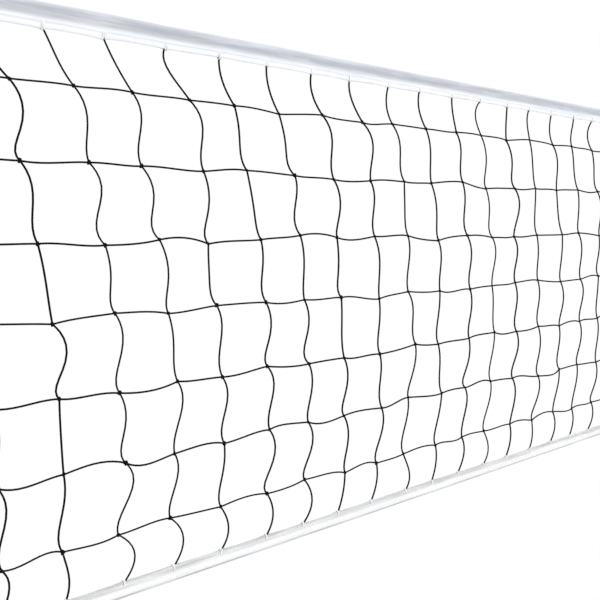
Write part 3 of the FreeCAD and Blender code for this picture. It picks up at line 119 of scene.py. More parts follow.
def sees_background(tree):
    """A socket that is 1 for rays that show the background: straight, mirrored or through glass."""
    rays = add_node(tree, "LightPath").outputs
    shown = rays["Is Camera Ray"]
    for kind in ("Is Glossy Ray", "Is Transmission Ray"):
        shown = add_node(tree, "Math", shown, rays[kind], operation="MAXIMUM").outputs[0]
    return shown


world = bpy.data.worlds.new("white studio")
bpy.context.scene.world = world
sky = empty_tree(world)
fill = add_node(sky, "Background", WORLD_FILL)
white = add_node(sky, "Background", (1, 1, 1, 1))
either = add_node(sky, "MixShader", sees_background(sky), fill.outputs[0], white.outputs[0])
add_node(sky, "OutputWorld", either.outputs[0])

for lamp_name, (place, size, radiance, tilt) in LAMPS.items():
    lamp = bpy.data.lights.new(lamp_name, "AREA")
    lamp.shape = "RECTANGLE"
    lamp.size, lamp.size_y = size
    lamp.energy = radiance * math.pi * size[0] * size[1]
    hung = bpy.data.objects.new(lamp_name, lamp)
    hung.location = place
    hung.rotation_euler = (math.radians(tilt), 0, 0)
    bpy.context.scene.collection.objects.link(hung)
    print(lamp_name, round(lamp.energy), "W")

# %% [markdown]
# The floor is a pale grey under the net, where it catches shadows, and turns into the same white as the
# world further out. The fade is worked out from the floor's own X and Y, so it stays under the net from
# every side.

# %% Lay the floor
FLOOR_SIDE = 60
FLOOR_COLOUR = (0.80, 0.81, 0.82, 1)
NEAR_HALF, FADE = (5.6, 0.40), 0.65

half = FLOOR_SIDE / 2
floor_corners = [(-half, -half, 0), (half, -half, 0), (half, half, 0), (-half, half, 0)]
floor_mesh = bpy.data.meshes.new("floor")
floor_mesh.from_pydata(floor_corners, [], [(0, 1, 2, 3)])
floor = bpy.data.objects.new("floor", floor_mesh)
bpy.context.scene.collection.objects.link(floor)


def away_from(tree, value, start):
    """A socket that rises from 0 to 1 as the size of a coordinate goes from start to start + FADE."""
    size = add_node(tree, "Math", value, operation="ABSOLUTE").outputs[0]
    ramp = add_node(tree, "MapRange", size, start, start + FADE, interpolation_type="SMOOTHSTEP")
    return ramp.outputs[0]


floor_finish = bpy.data.materials.new("pale floor")
tree = empty_tree(floor_finish)
split = add_node(tree, "SeparateXYZ", add_node(tree, "TexCoord").outputs["Object"])
far_x, far_y = (away_from(tree, split.outputs[i], NEAR_HALF[i]) for i in (0, 1))
far = add_node(tree, "Math", far_x, far_y, operation="MAXIMUM").outputs[0]
shown = add_node(tree, "Math", far, sees_background(tree), operation="MULTIPLY").outputs[0]
matt = add_node(tree, "BsdfDiffuse", FLOOR_COLOUR).outputs[0]
glow = add_node(tree, "Emission").outputs[0]
mixed = add_node(tree, "MixShader", shown, matt, glow).outputs[0]
add_node(tree, "OutputMaterial", mixed)
floor_mesh.materials.append(floor_finish)

bpy.context.scene.view_settings.view_transform = "Standard"
print("floor", FLOOR_SIDE, "m wide")

# %% [markdown]
# ## A short way to write finishes
#
# Every finish below is a Principled shader with patterns worked out from the surface's own coordinates, so
# that nothing slides when the camera moves. The class keeps the node code short: it makes the material,
# adds nodes, and joins their sockets. A pattern's scale is given in waves or grains per metre of the real
# surface.

# %% Make the finish helper
class Finish:
    def __init__(self, name, roughness, **constant):
        self.material = bpy.data.materials.new(name)
        self.material.use_nodes = True
        self.tree = self.material.node_tree
        self.shader = self.tree.nodes["Principled BSDF"]
        self.shader.inputs["Roughness"].default_value = roughness
        for socket, value in constant.items():
            self.shader.inputs[socket.replace("_", " ")].default_value = value
        self.places = self.tree.nodes.new("ShaderNodeTexCoord")

    def node(self, kind, *values, **settings):
        return add_node(self.tree, kind, *values, **settings)

    def maths(self, operation, *values):
        return self.node("Math", *values, operation=operation).outputs[0]

    def stretched(self, scale):
        """Object coordinates, scaled by three numbers."""
        places = self.places.outputs["Object"]
        return self.node("VectorMath", places, scale, operation="MULTIPLY").outputs[0]

    def grain(self, scale, detail=3.0, rough=0.55):
        """Noise from 0 to 1. Scale is grains per metre, or three numbers for a stretched grain."""
        three = scale if isinstance(scale, tuple) else (scale, scale, scale)
        made = self.node("TexNoise", self.stretched(three))
        made.inputs["Scale"].default_value = 1
        made.inputs["Detail"].default_value = detail
        made.inputs["Roughness"].default_value = rough
        return made.outputs["Fac"]

    def between(self, value, low, high, to_low=0.0, to_high=1.0):
        """Stretches a part of a pattern's range to the whole of another, and clips the rest."""
        return self.node("MapRange", value, low, high, to_low, to_high).outputs[0]

    def colours(self, factor, first, second, blend="MIX"):
        """Mixes two colours by a factor. Each is a socket or, for a colour, three numbers."""
        first, second = ((*c, 1) if isinstance(c, tuple) else c for c in (first, second))
        # The node's inputs for plain numbers and for vectors come before those for colours
        skipped = [None] * 5
        made = self.node("Mix", factor, *skipped, first, second, data_type="RGBA", blend_type=blend)
        return made.outputs[2]

    def over(self, tint, mask, share, colour):
        """Lays a colour over a tint where the mask is 1, but no more than by the share."""
        return self.colours(self.maths("MULTIPLY", mask, share), tint, colour)

    def edges(self, radius):
        """A socket that is near 1 where a surface turns within the radius, and the softened normal."""
        soft = self.node("Bevel", radius, samples=4).outputs[0]
        plain = self.node("NewGeometry").outputs["Normal"]
        alike = self.node("VectorMath", soft, plain, operation="DOT_PRODUCT").outputs["Value"]
        return self.between(alike, 0.995, 0.90), soft

    def relief(self, height, depth, normal=None):
        """A normal for bumps of that depth, laid over another normal if one is given."""
        bump = self.node("Bump")
        bump.inputs["Strength"].default_value = 1
        bump.inputs["Distance"].default_value = depth
        self.tree.links.new(height, bump.inputs["Height"])
        if normal is not None:
            self.tree.links.new(normal, bump.inputs["Normal"])
        return bump.outputs[0]

    def done(self, colour=None, roughness=None, normal=None):
        """Joins the sockets to the shader and gives back the material."""
        for name, value in (("Base Color", colour), ("Roughness", roughness), ("Normal", normal)):
            if value is not None:
                self.tree.links.new(value, self.shader.inputs[name])
        return self.material


FINISHES = {}
print("finish helper ready")

# %% [markdown]
# ## Powder coat on the posts
#
# Steel posts are blasted and coated with powder that melts in an oven. The coat has a fine orange peel,
# hides sharp corners, and wears through a little along edges. Fine noise gives the peel, and a bevelled
# normal both rounds the CAD edges and marks where they are.

# %% Coat the posts
DEEP_BLUE, PALE_BLUE = (0.030, 0.054, 0.138), (0.064, 0.101, 0.226)
FLECK_BLUE, SCUFF_BLUE, WORN_GREY = (0.110, 0.150, 0.280), (0.150, 0.180, 0.260), (0.30, 0.31, 0.33)
COAT_EDGE, PEEL_GRAIN, PEEL_DEPTH = 0.0012, 420, 0.00024

coat = Finish("dark blue powder coat", 0.42, Coat_Weight=0.12, Coat_Roughness=0.25)
edge, soft = coat.edges(COAT_EDGE)
fleck = coat.between(coat.grain(700, 2), 0.58, 0.75)
scuff = coat.between(coat.grain((70, 70, 11), 5), 0.60, 0.72)
worn = coat.maths("MULTIPLY", edge, coat.between(coat.grain(60, 4), 0.46, 0.62))
blue = coat.colours(coat.grain(5, 4), DEEP_BLUE, PALE_BLUE)
blue = coat.over(blue, fleck, 0.35, FLECK_BLUE)
blue = coat.over(blue, scuff, 0.45, SCUFF_BLUE)
blue = coat.over(blue, worn, 0.65, WORN_GREY)
peel = coat.relief(coat.grain(PEEL_GRAIN, 3), PEEL_DEPTH, soft)
FINISHES["post_paint"] = coat.done(blue, coat.between(coat.grain(28), 0.3, 0.7, 0.30, 0.56), peel)
print("coated:", FINISHES["post_paint"].name)

# %% [markdown]
# ## Satin aluminium of the masts
#
# The sliding masts are drawn tube, brushed along their length and anodised. Noise that is stretched along Z
# gives the drawn lines. A few rubbed rings stand where the tube slides in its bush.

# %% Finish the masts
DARK_SILVER, PALE_SILVER, RUBBED_SILVER = (0.44, 0.45, 0.47), (0.64, 0.65, 0.67), (0.34, 0.35, 0.37)
METAL_EDGE, DRAWN_DEPTH = 0.0006, 0.00003

mast = Finish("satin anodised mast", 0.34, Metallic=0.9)
edge, soft = mast.edges(METAL_EDGE)
drawn = mast.grain((900, 900, 5), 3)
rubbed = mast.between(mast.grain((3, 3, 160), 3), 0.60, 0.72)
silver = mast.over(mast.colours(drawn, DARK_SILVER, PALE_SILVER), rubbed, 0.40, RUBBED_SILVER)
sheen = mast.between(drawn, 0.3, 0.7, 0.27, 0.42)
FINISHES["mast_metal"] = mast.done(silver, sheen, mast.relief(drawn, DRAWN_DEPTH, soft))
print("finished:", FINISHES["mast_metal"].name)

# %% [markdown]
# ## Zinc, steel, brass and bronze
#
# The small metal parts are all bare or plated metal, so they share one recipe: a tint that wanders, turned
# or brushed lines, a soft edge, and grime in broad patches. What changes is the colour, how strong the
# lines are, and how rough the metal is. Lines run round the Y axis on parts that were turned on a lathe.

# %% Finish the metals
def bare_metal(name, dark, light, rough, lines, depth, grime=0.25):
    """A metal with fine lines. Lines is a scale along X, Y and Z, in lines per metre."""
    metal = Finish(name, rough, Metallic=1.0)
    edge, soft = metal.edges(METAL_EDGE)
    fine = metal.grain(lines, 3)
    bright = tuple(min(1, c * 1.25) for c in light)
    tint = metal.over(metal.colours(metal.grain(24, 4), dark, light), edge, 0.45, bright)
    dull = metal.maths("MULTIPLY", metal.between(metal.grain(9, 5), 0.55, 0.75), grime)
    tint = metal.colours(dull, tint, tuple(c * 0.45 for c in dark))
    grey = metal.maths("ADD", metal.between(fine, 0.25, 0.75, rough - 0.08, rough + 0.08), dull)
    return metal.done(tint, grey, metal.relief(fine, depth, soft))


EVEN_FINE = (900, 900, 900)
METALS = {
    # slot: name, dark and light tint, roughness, lines and their depth, and the grime if there is much
    "zinc": ("zinc plate", (0.38, 0.40, 0.42), (0.57, 0.58, 0.58), 0.36, (260, 260, 260), 4e-5),
    "brass": ("brass", (0.56, 0.40, 0.15), (0.78, 0.60, 0.28), 0.30, (80, 1200, 80), 3e-5),
    "bronze": ("bronze bush", (0.34, 0.22, 0.10), (0.52, 0.36, 0.18), 0.42, EVEN_FINE, 5e-5),
    "spring_steel": ("oiled spring", (0.20, 0.21, 0.23), (0.36, 0.37, 0.39), 0.30, EVEN_FINE, 2e-5),
    "gear_steel": ("greased gear", (0.20, 0.20, 0.21), (0.36, 0.36, 0.37), 0.28, (120, 1400, 120), 4e-5, 0.5),
    "pulley_metal": ("turned pulley", (0.42, 0.43, 0.45), (0.62, 0.63, 0.65), 0.30, (90, 1300, 90), 4e-5),
}
for slot, recipe in METALS.items():
    FINISHES[slot] = bare_metal(*recipe)
print("metals:", len(METALS))

# %% [markdown]
# ## Black plastics, enamel and rod
#
# Moulded plastic has a spark-eroded texture, cast iron a coarser skin under its enamel, and the side rods
# are glass fibre whose strands show along the rod. The same helper makes them, with grain at different
# scales.

# %% Finish the plastics
MOULDED_EDGE = 0.0009


def moulded(name, dark, light, rough, grain, depth):
    """A plastic or enamel skin with an even grain and lighter, rubbed edges."""
    skin = Finish(name, rough)
    edge, soft = skin.edges(MOULDED_EDGE)
    rubbed = tuple(min(1, c * 2.2 + 0.02) for c in light)
    tint = skin.over(skin.colours(skin.grain(30, 4), dark, light), edge, 0.30, rubbed)
    grey = skin.between(skin.grain(45, 3), 0.3, 0.7, rough - 0.07, rough + 0.09)
    return skin.done(tint, grey, skin.relief(skin.grain(grain, 3), depth, soft))


SKINS = {
    # slot: name, dark and light tint, roughness, grains per metre and their depth
    "cast_black": ("black enamel", (0.016, 0.016, 0.018), (0.048, 0.048, 0.051), 0.38, 420, 3.4e-4),
    "nylon": ("black nylon", (0.022, 0.022, 0.023), (0.040, 0.040, 0.041), 0.55, 1500, 4e-5),
    "knob_plastic": ("moulded knob", (0.014, 0.014, 0.015), (0.034, 0.034, 0.035), 0.46, 900, 1.2e-4),
    "rod_fibre": ("glass fibre", (0.62, 0.62, 0.52), (0.80, 0.80, 0.70), 0.35, (1500, 1500, 12), 5e-5),
    "grip_rubber": ("grip rubber", (0.020, 0.020, 0.020), (0.036, 0.036, 0.035), 0.72, 1300, 7e-5),
}
for slot, recipe in SKINS.items():
    FINISHES[slot] = moulded(*recipe)
print("finishes so far:", len(FINISHES))

# %% [markdown]
# ## White tape
#
# The bands are woven polyester tape. The weave is a millimetre or less, so it is a small relief of crossing
# waves, with threads of slightly different white, and the hollows between the threads are painted darker
# as painted shade. Folds and handling leave broad soft creases, and the faint grey along them is painted
# shade. The tape's own map runs across the band in U and along it in V, both in metres, so the threads
# follow the band wherever it bends. A tape can be one white, or have tones of painted shade that run along
# the net: those are a colour ramp over the distance from the fold, broken up by paler streaks.

# %% Weave the tape
THREADS_PER_METRE = 1250
CLEAN = (0.95, 0.955, 0.96)
CREASE_SHADE, CREASE_SHADE_TONE = (0.89, 0.905, 0.93), (0.93, 0.94, 0.96)
STREAK, STAIN = (0.88, 0.89, 0.90), (0.74, 0.79, 0.86)
FIBRE, THREAD_HOLLOW_SHADE = (0.80, 0.81, 0.83), (0.50, 0.51, 0.54)
WEAVE_SHARE, CREASE_DEPTH = 0.015, 0.0028


def toned(tape, across, width, tones, streaked):
    """The colour over a tape of that width. Tones are (distance from the fold, colour) pairs."""
    from_fold = tape.maths("ABSOLUTE", tape.maths("SUBTRACT", across, width / 2))
    ramp = tape.node("ValToRGB", tape.maths("MULTIPLY", from_fold, 2 / width))
    stops = ramp.color_ramp.elements
    stops.remove(stops[1])
    for place, tone in tones:
        stops.new(min(1, 2 * place / width)).color = (*tone, 1)
    stops.remove(stops[0])
    streaks = tape.between(tape.grain((7, 150, 150), 3, 0.5), 0.44, 0.68)
    return tape.over(ramp.outputs[0], streaks, streaked, STREAK)


def woven(name, tones=None, width=None, streaked=None):
    """Woven white tape, in one white or in tones."""
    tape = Finish(name, 0.82, Sheen_Weight=0.25, Sheen_Roughness=0.5, Specular_IOR_Level=0.25)
    across, along = tape.node("SeparateXYZ", tape.places.outputs["UV"]).outputs[:2]
    angles = [tape.maths("MULTIPLY", way, THREADS_PER_METRE * math.pi) for way in (across, along)]
    weave = tape.maths("MULTIPLY", *[tape.maths("SINE", angle) for angle in angles])
    thread = tape.grain(900, 2)
    folds = tape.grain((14, 60, 60), 3, 0.5)
    patches = tape.between(tape.grain((2.5, 9, 9), 3, 0.5), 0.50, 0.72)
    colour, shade = CLEAN, CREASE_SHADE
    if tones:
        colour = toned(tape, across, width, tones, streaked)
        shade = tape.colours(1, colour, CREASE_SHADE_TONE, "MULTIPLY")
    # The grey that follows the fold noise is painted shade along the creases
    tint = tape.colours(tape.between(folds, 0.35, 0.75), colour, shade)
    tint = tape.over(tint, patches, 0.22, STAIN)
    tint = tape.over(tint, thread, 0.08, FIBRE)
    # Painted shade: darker where the weave dips, in the hollows between the threads
    tint = tape.over(tint, tape.between(weave, -0.2, -1.0), 0.12, THREAD_HOLLOW_SHADE)
    height = tape.maths("ADD", tape.maths("MULTIPLY", weave, WEAVE_SHARE), folds)
    return tape.done(tint, tape.between(thread, 0.3, 0.7, 0.74, 0.90), tape.relief(height, CREASE_DEPTH))


FINISHES["white_tape"] = woven("woven white tape")
print("woven:", FINISHES["white_tape"].name)

# %% [markdown]
# ## Twine, rope and cable
#
# All of these are strands twisted or braided round each other. On a tube whose map has U once round and V
# in girths along it, a stripe that rises with U is a strand, and two sets of stripes that cross are a
# braid. The black twine of the net is three strands, the white cord is a braid, and the head cable is steel
# strands under a clear coat.

# %% Twist the strands
def twisted(name, colour, shade, strands, rise, depth, rough, braid=False, **constant):
    """Strands round a tube. Rise is how many girths a strand goes along for each turn."""
    cord = Finish(name, rough, **constant)
    around, along = cord.node("SeparateXYZ", cord.places.outputs["UV"]).outputs[:2]

    def stripes(way):
        climb = cord.maths("MULTIPLY", along, way * strands / rise)
        turns = cord.maths("ADD", cord.maths("MULTIPLY", around, float(strands)), climb)
        return cord.maths("ABSOLUTE", cord.maths("SINE", cord.maths("MULTIPLY", turns, math.pi)))

    height = stripes(1)
    if braid:
        height = cord.maths("MAXIMUM", height, stripes(-1))
    fibre = cord.grain(1600, 2)
    # The grooves between the strands take the darker shade colour: painted shade
    tint = cord.colours(cord.between(height, 0.05, 0.6), shade, colour)
    tint = cord.over(tint, cord.grain(35, 3), 0.35, tuple(c * 0.8 for c in colour))
    rounder = cord.maths("ADD", height, cord.maths("MULTIPLY", fibre, 0.25))
    return cord.done(tint, None, cord.relief(rounder, depth))


FINISHES["black_twine"] = twisted(
    "black net twine", (0.007, 0.007, 0.008), (0.004, 0.004, 0.004), 3, 1.3, 0.00016, 0.92,
    Specular_IOR_Level=0.05,
)
FINISHES["cord"] = twisted(
    "braided white cord", (0.80, 0.80, 0.78), (0.45, 0.46, 0.47), 6, 2.0, 0.0004, 0.80,
    braid=True, Sheen_Weight=0.2,
)
FINISHES["cable_coat"] = twisted(
    "coated steel cable", (0.62, 0.63, 0.66), (0.22, 0.23, 0.25), 6, 2.6, 0.0004, 0.30,
    Metallic=0.75, Coat_Weight=0.6, Coat_Roughness=0.08,
)
THREAD_TWIST = {"strands": 3, "rise": 2.5, "depth": 0.00010, "rough": 0.75}
SEWING_THREAD = twisted("white sewing thread", (0.96, 0.96, 0.96), (0.88, 0.885, 0.90), **THREAD_TWIST)
GREY_THREAD = twisted("grey sewing thread", (0.70, 0.70, 0.71), (0.62, 0.62, 0.63), **THREAD_TWIST)
print("twisted:", [FINISHES[s].name for s in ("black_twine", "cord", "cable_coat")], SEWING_THREAD.name)

# %% [markdown]
# ## Give the CAD parts their finishes
#
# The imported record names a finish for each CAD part. Their meshes stay as they are: only the material in
# each slot changes.

# %% Assign the finishes
slot_of = {part["node"]: part["material_slot"] for part in frame["record"]["subparts"]}
for name, part in frame["nodes"].items():
    part.data.materials.clear()
    part.data.materials.append(FINISHES[slot_of[name]])
print("finished parts:", len(slot_of), "with", len(FINISHES), "finishes")

# %% [markdown]
# ## Tubes and strips
#
# The soft parts are all either a tube along a path or a strip with a profile along a line. Both are grids
# of points, so one helper turns any grid into a mesh with a map. Numpy makes thousands of them at once,
# which a net of 632 openings needs.

# %% Make the mesh helpers
def add_piece(name, points, quads, uvs, finish, slot, body, smooth=True):
    """A mesh object from points (n, 3), corner numbers (m, 4) and a map (m, 4, 2), riding on a CAD body."""
    mesh = bpy.data.meshes.new(name)
    mesh.from_pydata(points.reshape(-1, 3).tolist(), [], quads.reshape(-1, 4).tolist())
    mesh.uv_layers.new(name="map").data.foreach_set("uv", uvs.astype(np.float32).ravel())
    mesh.polygons.foreach_set("use_smooth", np.full(len(mesh.polygons), smooth))
    mesh.materials.append(finish)
    mesh.update()
    piece = bpy.data.objects.new(name, mesh)
    bpy.context.scene.collection.objects.link(piece)
    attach(piece, body)
    return piece


def grid(rings, sides, us, vs):
    """The faces of tubes of rings by sides, whose map goes us round and vs (tubes, rings) along."""
    ring, side = np.meshgrid(np.arange(rings - 1), np.arange(sides), indexing="ij")
    here, after = ring * sides + side, ring * sides + (side + 1) % sides
    face = np.stack([here, after, after + sides, here + sides], -1)
    face = face.reshape(1, -1, 4) + (np.arange(len(vs)) * rings * sides)[:, None, None]
    u = np.stack([us[side], us[side + 1], us[side + 1], us[side]], -1).reshape(1, -1, 4)
    low, high = vs[:, ring.ravel()], vs[:, ring.ravel() + 1]
    v = np.stack([low, low, high, high], -1)
    return face, np.stack([np.broadcast_to(u, v.shape), v], -1)


def unit(vectors):
    return vectors / np.linalg.norm(vectors, axis=-1, keepdims=True)


def closed_up(paths):
    """Paths (tubes, rings, 3) with the first point once more at the end, and the directions along them."""
    tangent = unit(np.roll(paths, -1, 1) - np.roll(paths, 1, 1))
    return np.concatenate([paths, paths[:, :1]], 1), np.concatenate([tangent, tangent[:, :1]], 1)


def skinned(paths, tangent, across, radius, sides, girths=None):
    """Tubes round paths (tubes, rings, 3), with a direction across the path at each point.

    Girths are how many times its own girth a tube has run at each ring, if not by its length."""
    binormal = unit(np.cross(tangent, across))
    normal = np.cross(binormal, tangent)
    turn = np.linspace(0, 2 * math.pi, sides, endpoint=False)
    radius = np.broadcast_to(np.asarray(radius, float), paths.shape[:2])[:, :, None, None]
    ring = np.cos(turn)[:, None] * normal[:, :, None] + np.sin(turn)[:, None] * binormal[:, :, None]
    points = paths[:, :, None] + radius * ring
    if girths is None:
        run = np.linalg.norm(np.diff(paths, axis=1), axis=2).cumsum(1)
        girths = np.concatenate([np.zeros((len(paths), 1)), run], 1) / (2 * math.pi * float(radius.mean()))
    faces, uvs = grid(paths.shape[1], sides, np.linspace(0, 1, sides + 1), girths)
    return points.reshape(-1, 3), faces.reshape(-1, 4), uvs.reshape(-1, 4, 2)


def tubes(paths, radius, sides, across, closed=False):
    """Round tubes along paths (tubes, rings, 3). Across is one direction, or one for each tube."""
    paths = np.asarray(paths, float)
    paths, tangent = closed_up(paths) if closed else (paths, unit(np.gradient(paths, axis=1)))
    across = np.broadcast_to(np.asarray(across, float).reshape(-1, 1, 3), tangent.shape)
    return skinned(paths, tangent, across, radius, sides)


def together(*shapes):
    """Several shapes of points, faces and maps as one."""
    start, points, faces, uvs = 0, [], [], []
    for p, f, m in shapes:
        points.append(p)
        faces.append(f + start)
        uvs.append(m)
        start += len(p)
    return np.concatenate(points), np.concatenate(faces), np.concatenate(uvs)


print("mesh helpers ready")

# %% [markdown]
# ## Where the twine hangs
#
# The mesh has 78 upright cords and 7 level ones, 12 cm apart. It is held along the bands but slack between
# them, so it hangs in a shallow belly, and its upright cords lean and bow to the side by a few centimetres.
# The lean comes and goes along the net and dies out at both ends, where the side bands hold the mesh. Each
# knot has slipped a little of its own, and the top band was sewn on a little to the side of the cords. A
# function of the place gives every knot's shift, and the sizes were chosen by comparing renders with the
# photograph.

# %% Place the knots
CELL = 0.12
CORDS, ROWS = 78, 7
TOP_LINE, LOW_LINE = 2.430, 1.497
TOP_EDGE, LOW_EDGE = 2.398, 1.517
HALF_NET, NET_END = 4.750, 4.700
TOP_TUCK, LOW_TUCK, SIDE_TUCK = 0.002, 0.003, 0.004
TOP_KNOT_ROW = 2.432
TOP_SAG, LOW_SAG = 0.004, 0.008
BELLY, BOW, LEAN, LEAN_WAVE = 0.025, 0.20 * CELL, 0.50 * CELL, 0.42 * CELL
SEWN_WAVE, SEWN_ASIDE = 0.27 * CELL, 0.02 * CELL
WAVES, HELD_LENGTH = 1.3, 1.2
SLIP_X, SLIP_Y, SLIP_Z = 0.040 * CELL, 0.002, 0.028 * CELL
chance = np.random.default_rng(20)


def sagged(x, depth):
    """How far a band hangs below its ends at each x."""
    return depth * (1 - (x / HALF_NET) ** 2)


def freedom(x):
    """0 where the side bands hold the mesh, 1 from HELD_LENGTH on."""
    return np.clip((NET_END - np.abs(x)) / HELD_LENGTH, 0, 1)


def slack(x, z):
    """How far the mesh is pulled along X and hangs forward, at a place on the net."""
    down = (TOP_EDGE - z) / (TOP_EDGE - LOW_EDGE)
    free = freedom(x) ** 2 * (3 - 2 * freedom(x))
    arch = 4 * down * (1 - down)
    lean = LEAN - LEAN_WAVE * np.sin(WAVES * x)
    return free * (BOW * arch + lean * (down - 0.5)), -free * BELLY * arch


cord_x = CELL * (np.arange(1, CORDS + 1) - (CORDS + 1) / 2)
knotted_z = TOP_KNOT_ROW - CELL * np.arange(1, ROWS + 1)
held_z = np.concatenate([[TOP_EDGE + TOP_TUCK], knotted_z, [LOW_EDGE - LOW_TUCK]])
even_x, even_z = np.meshgrid(cord_x, held_z, indexing="ij")
shift_x, shift_y = slack(even_x, even_z)
knotted = np.zeros_like(even_z)
knotted[:, 1:-1] = 1
slip_x = chance.normal(0, SLIP_X, even_x.shape)
slip_z = chance.normal(0, SLIP_Z, even_x.shape) * knotted
slip_y = chance.normal(0, SLIP_Y, even_x.shape) * knotted
knots = np.stack([even_x + shift_x + slip_x, shift_y + slip_y, even_z + slip_z], -1)
knots[:, 0, 2] -= sagged(cord_x, TOP_SAG)
knots[:, -1, 2] -= sagged(cord_x, LOW_SAG)
knots[:, 0, 0] += (SEWN_WAVE * np.sin(WAVES * cord_x) - SEWN_ASIDE) * freedom(cord_x)
print("knots:", CORDS * ROWS, "largest pull to the side", round(float(np.abs(shift_x).max()), 3), "m")

# %% [markdown]
# ## The twine
#
# Between two knots the cord is never straight. The knot holds its ends at a slant, so an upright cord
# leaves a knot towards the right, runs down, and jogs to the right again just above the next one. In the
# lowest row it comes into the band from the other side. A straight line with two bulges, one near each end,
# draws that. The size of each bulge varies from cord to cord, and so does how late the jog comes: a later
# one is sharper, and has to be given more height to show as much. The level cords are pulled from end to
# end and stay nearly straight.

# %% Bend the upright cords
STEPS = 15
TWINE = 0.00172
# How strongly the cords of each row leave a knot and arrive at the next, from the top band down
LEAVE = (-0.25, 0.65, 0.56, 0.50, 0.60, 0.66, 0.72, 0.60)
ARRIVE = (0.33, 0.65, 0.62, 0.54, 0.56, 0.60, 0.64, -0.85)
WILD, WILD_IN_LAST = 0.29, 0.20
LATEST_JOG, EARLIEST_JOG, AT_A_BAND = 6.0, 2.2, 2.0
JOG_HEIGHT, HEIGHT_BY_LATENESS = 0.35, 0.19
OUTWARD = 0.10


def strand(start, end, leave, arrive, sideways, out, late):
    """Points (many, STEPS, 3) from knots to knots, bulging sideways and out of the net."""
    t = 0.5 - 0.5 * np.cos(np.linspace(0, math.pi, STEPS))[None, :]
    line = start[:, None] + (end - start)[:, None] * t[..., None]
    first = leave[:, None] * t * (1 - t) ** 2
    last = arrive[:, None] * t ** np.reshape(late, (-1, 1)) * (1 - t)
    line = line + CELL * (first - last)[..., None] * np.asarray(sideways, float)
    line[..., 1] += CELL * out[:, None] * t * (1 - t)
    return line


uprights = []
for row in range(ROWS + 1):
    at_band = row in (0, ROWS)
    late = np.full(CORDS, AT_A_BAND) if at_band else chance.uniform(EARLIEST_JOG, LATEST_JOG, CORDS)
    wild = WILD_IN_LAST if row == ROWS else WILD
    leave = chance.normal(LEAVE[row], wild, CORDS)
    arrive = chance.normal(ARRIVE[row], wild, CORDS) * (JOG_HEIGHT + HEIGHT_BY_LATENESS * late)
    out = chance.normal(0, OUTWARD, CORDS)
    uprights.append(strand(knots[:, row], knots[:, row + 1], leave, arrive, (1, 0, 0), out, late))
uprights = np.stack(uprights, 1)
print("upright cords:", uprights.shape[0], "of", uprights.shape[1], "bends")

# %% [markdown]
# A level cord also ends on the side bands, so each row gets one more point at either end. The bends of the
# lower rows are larger, because the mesh hangs slacker there.

# %% Bend the level cords
SWING = np.linspace(0.07, 0.19, ROWS)
DIP, LEVEL_OUTWARD, MIDWAY = -0.03, 0.08, 2.0

ends = np.array([[(way * (NET_END + SIDE_TUCK), 0, z) for z in knotted_z] for way in (-1, 1)])
level_knots = np.concatenate([ends[:1], knots[:, 1:-1], ends[1:]])
levels = []
for start, end in zip(level_knots, level_knots[1:]):
    leave, arrive = chance.normal(0, SWING), chance.normal(DIP, SWING)
    out = chance.normal(0, LEVEL_OUTWARD, ROWS)
    levels.append(strand(start, end, leave, arrive, (0, 0, 1), out, MIDWAY))
levels = np.stack(levels)
print("level cords:", ROWS, "of", levels.shape[0], "bends")

# %% [markdown]
# ## The knots
#
# Each crossing is tied, so the twine there is a lump more than twice as thick as the cord, with small ears
# where the loop turns. A trefoil is a real knot, small and lumpy from every side, so each crossing gets a
# trefoil of twine pulled tight over the two cords, turned by chance.

# %% Tie the knots
KNOT_POINTS, KNOT_SIDES = 22, 6
KNOT_SIZE, SMALLEST, LARGEST = 0.00092, 0.75, 1.35
KNOT_FLAT, PULLED_THIN, KNOT_GIRTHS = 0.75, 0.85, 4
TOWARDS_BACK = 0.002


def trefoil(number, flat):
    """A trefoil seen from its front: how far its points are to the right, behind the front, and up."""
    a = np.linspace(0, 2 * math.pi, number, endpoint=False)
    return np.stack([np.sin(a) + 2 * np.sin(2 * a), -flat * np.sin(3 * a), np.cos(a) - 2 * np.cos(2 * a)])


def tie(places):
    """Trefoils at places (many, 3), each of its own size and turned about Y."""
    spin = chance.uniform(0, 2 * math.pi, len(places))
    size = chance.uniform(SMALLEST, LARGEST, (len(places), 1, 1))
    c, s = np.cos(spin)[:, None], np.sin(spin)[:, None]
    x, y, z = KNOT_SIZE * trefoil(KNOT_POINTS, KNOT_FLAT)
    turned = np.stack([c * x - s * z, np.broadcast_to(y, (len(places), KNOT_POINTS)), s * x + c * z], -1)
    paths, tangent = closed_up(places[:, None] + turned * size)
    outward = paths - paths[:, :-1].mean(1, keepdims=True) + (0, TOWARDS_BACK, 0)
    girths = np.broadcast_to(np.linspace(0, KNOT_GIRTHS, KNOT_POINTS + 1), paths.shape[:2])
    return skinned(paths, tangent, outward, PULLED_THIN * TWINE, KNOT_SIDES, girths)


print("points of a knot:", KNOT_POINTS * KNOT_SIDES)

# %% [markdown]
# ## The panels
#
# Twine isn't even: each cord is a little thicker or thinner than the next, and along the net the thickness
# drifts slowly too, thinner in its left half and thicker in its right. The tube helper takes a radius for
# each point, so both are one small function.

# %% Make the three panels of the mesh
TWINE_SIDES = 8
DRIFT, DRIFT_LENGTH = 0.18, 10.5
uneven = np.random.default_rng(33)
upright_share, level_share = uneven.uniform(0.88, 1.12, CORDS), uneven.uniform(0.92, 1.08, ROWS)


def twine_at(x, share):
    """The twine's radius at each x, for cords of that share of the usual thickness."""
    return TWINE * share * (1 + DRIFT * np.sin(2 * math.pi * x / DRIFT_LENGTH))


def joined(bends):
    """Bends (cords, bends, STEPS, 3) as one path for each cord. Two bends share the point between them."""
    return np.concatenate([bends[:, 0, :1], bends[:, :, 1:].reshape(len(bends), -1, 3)], 1)


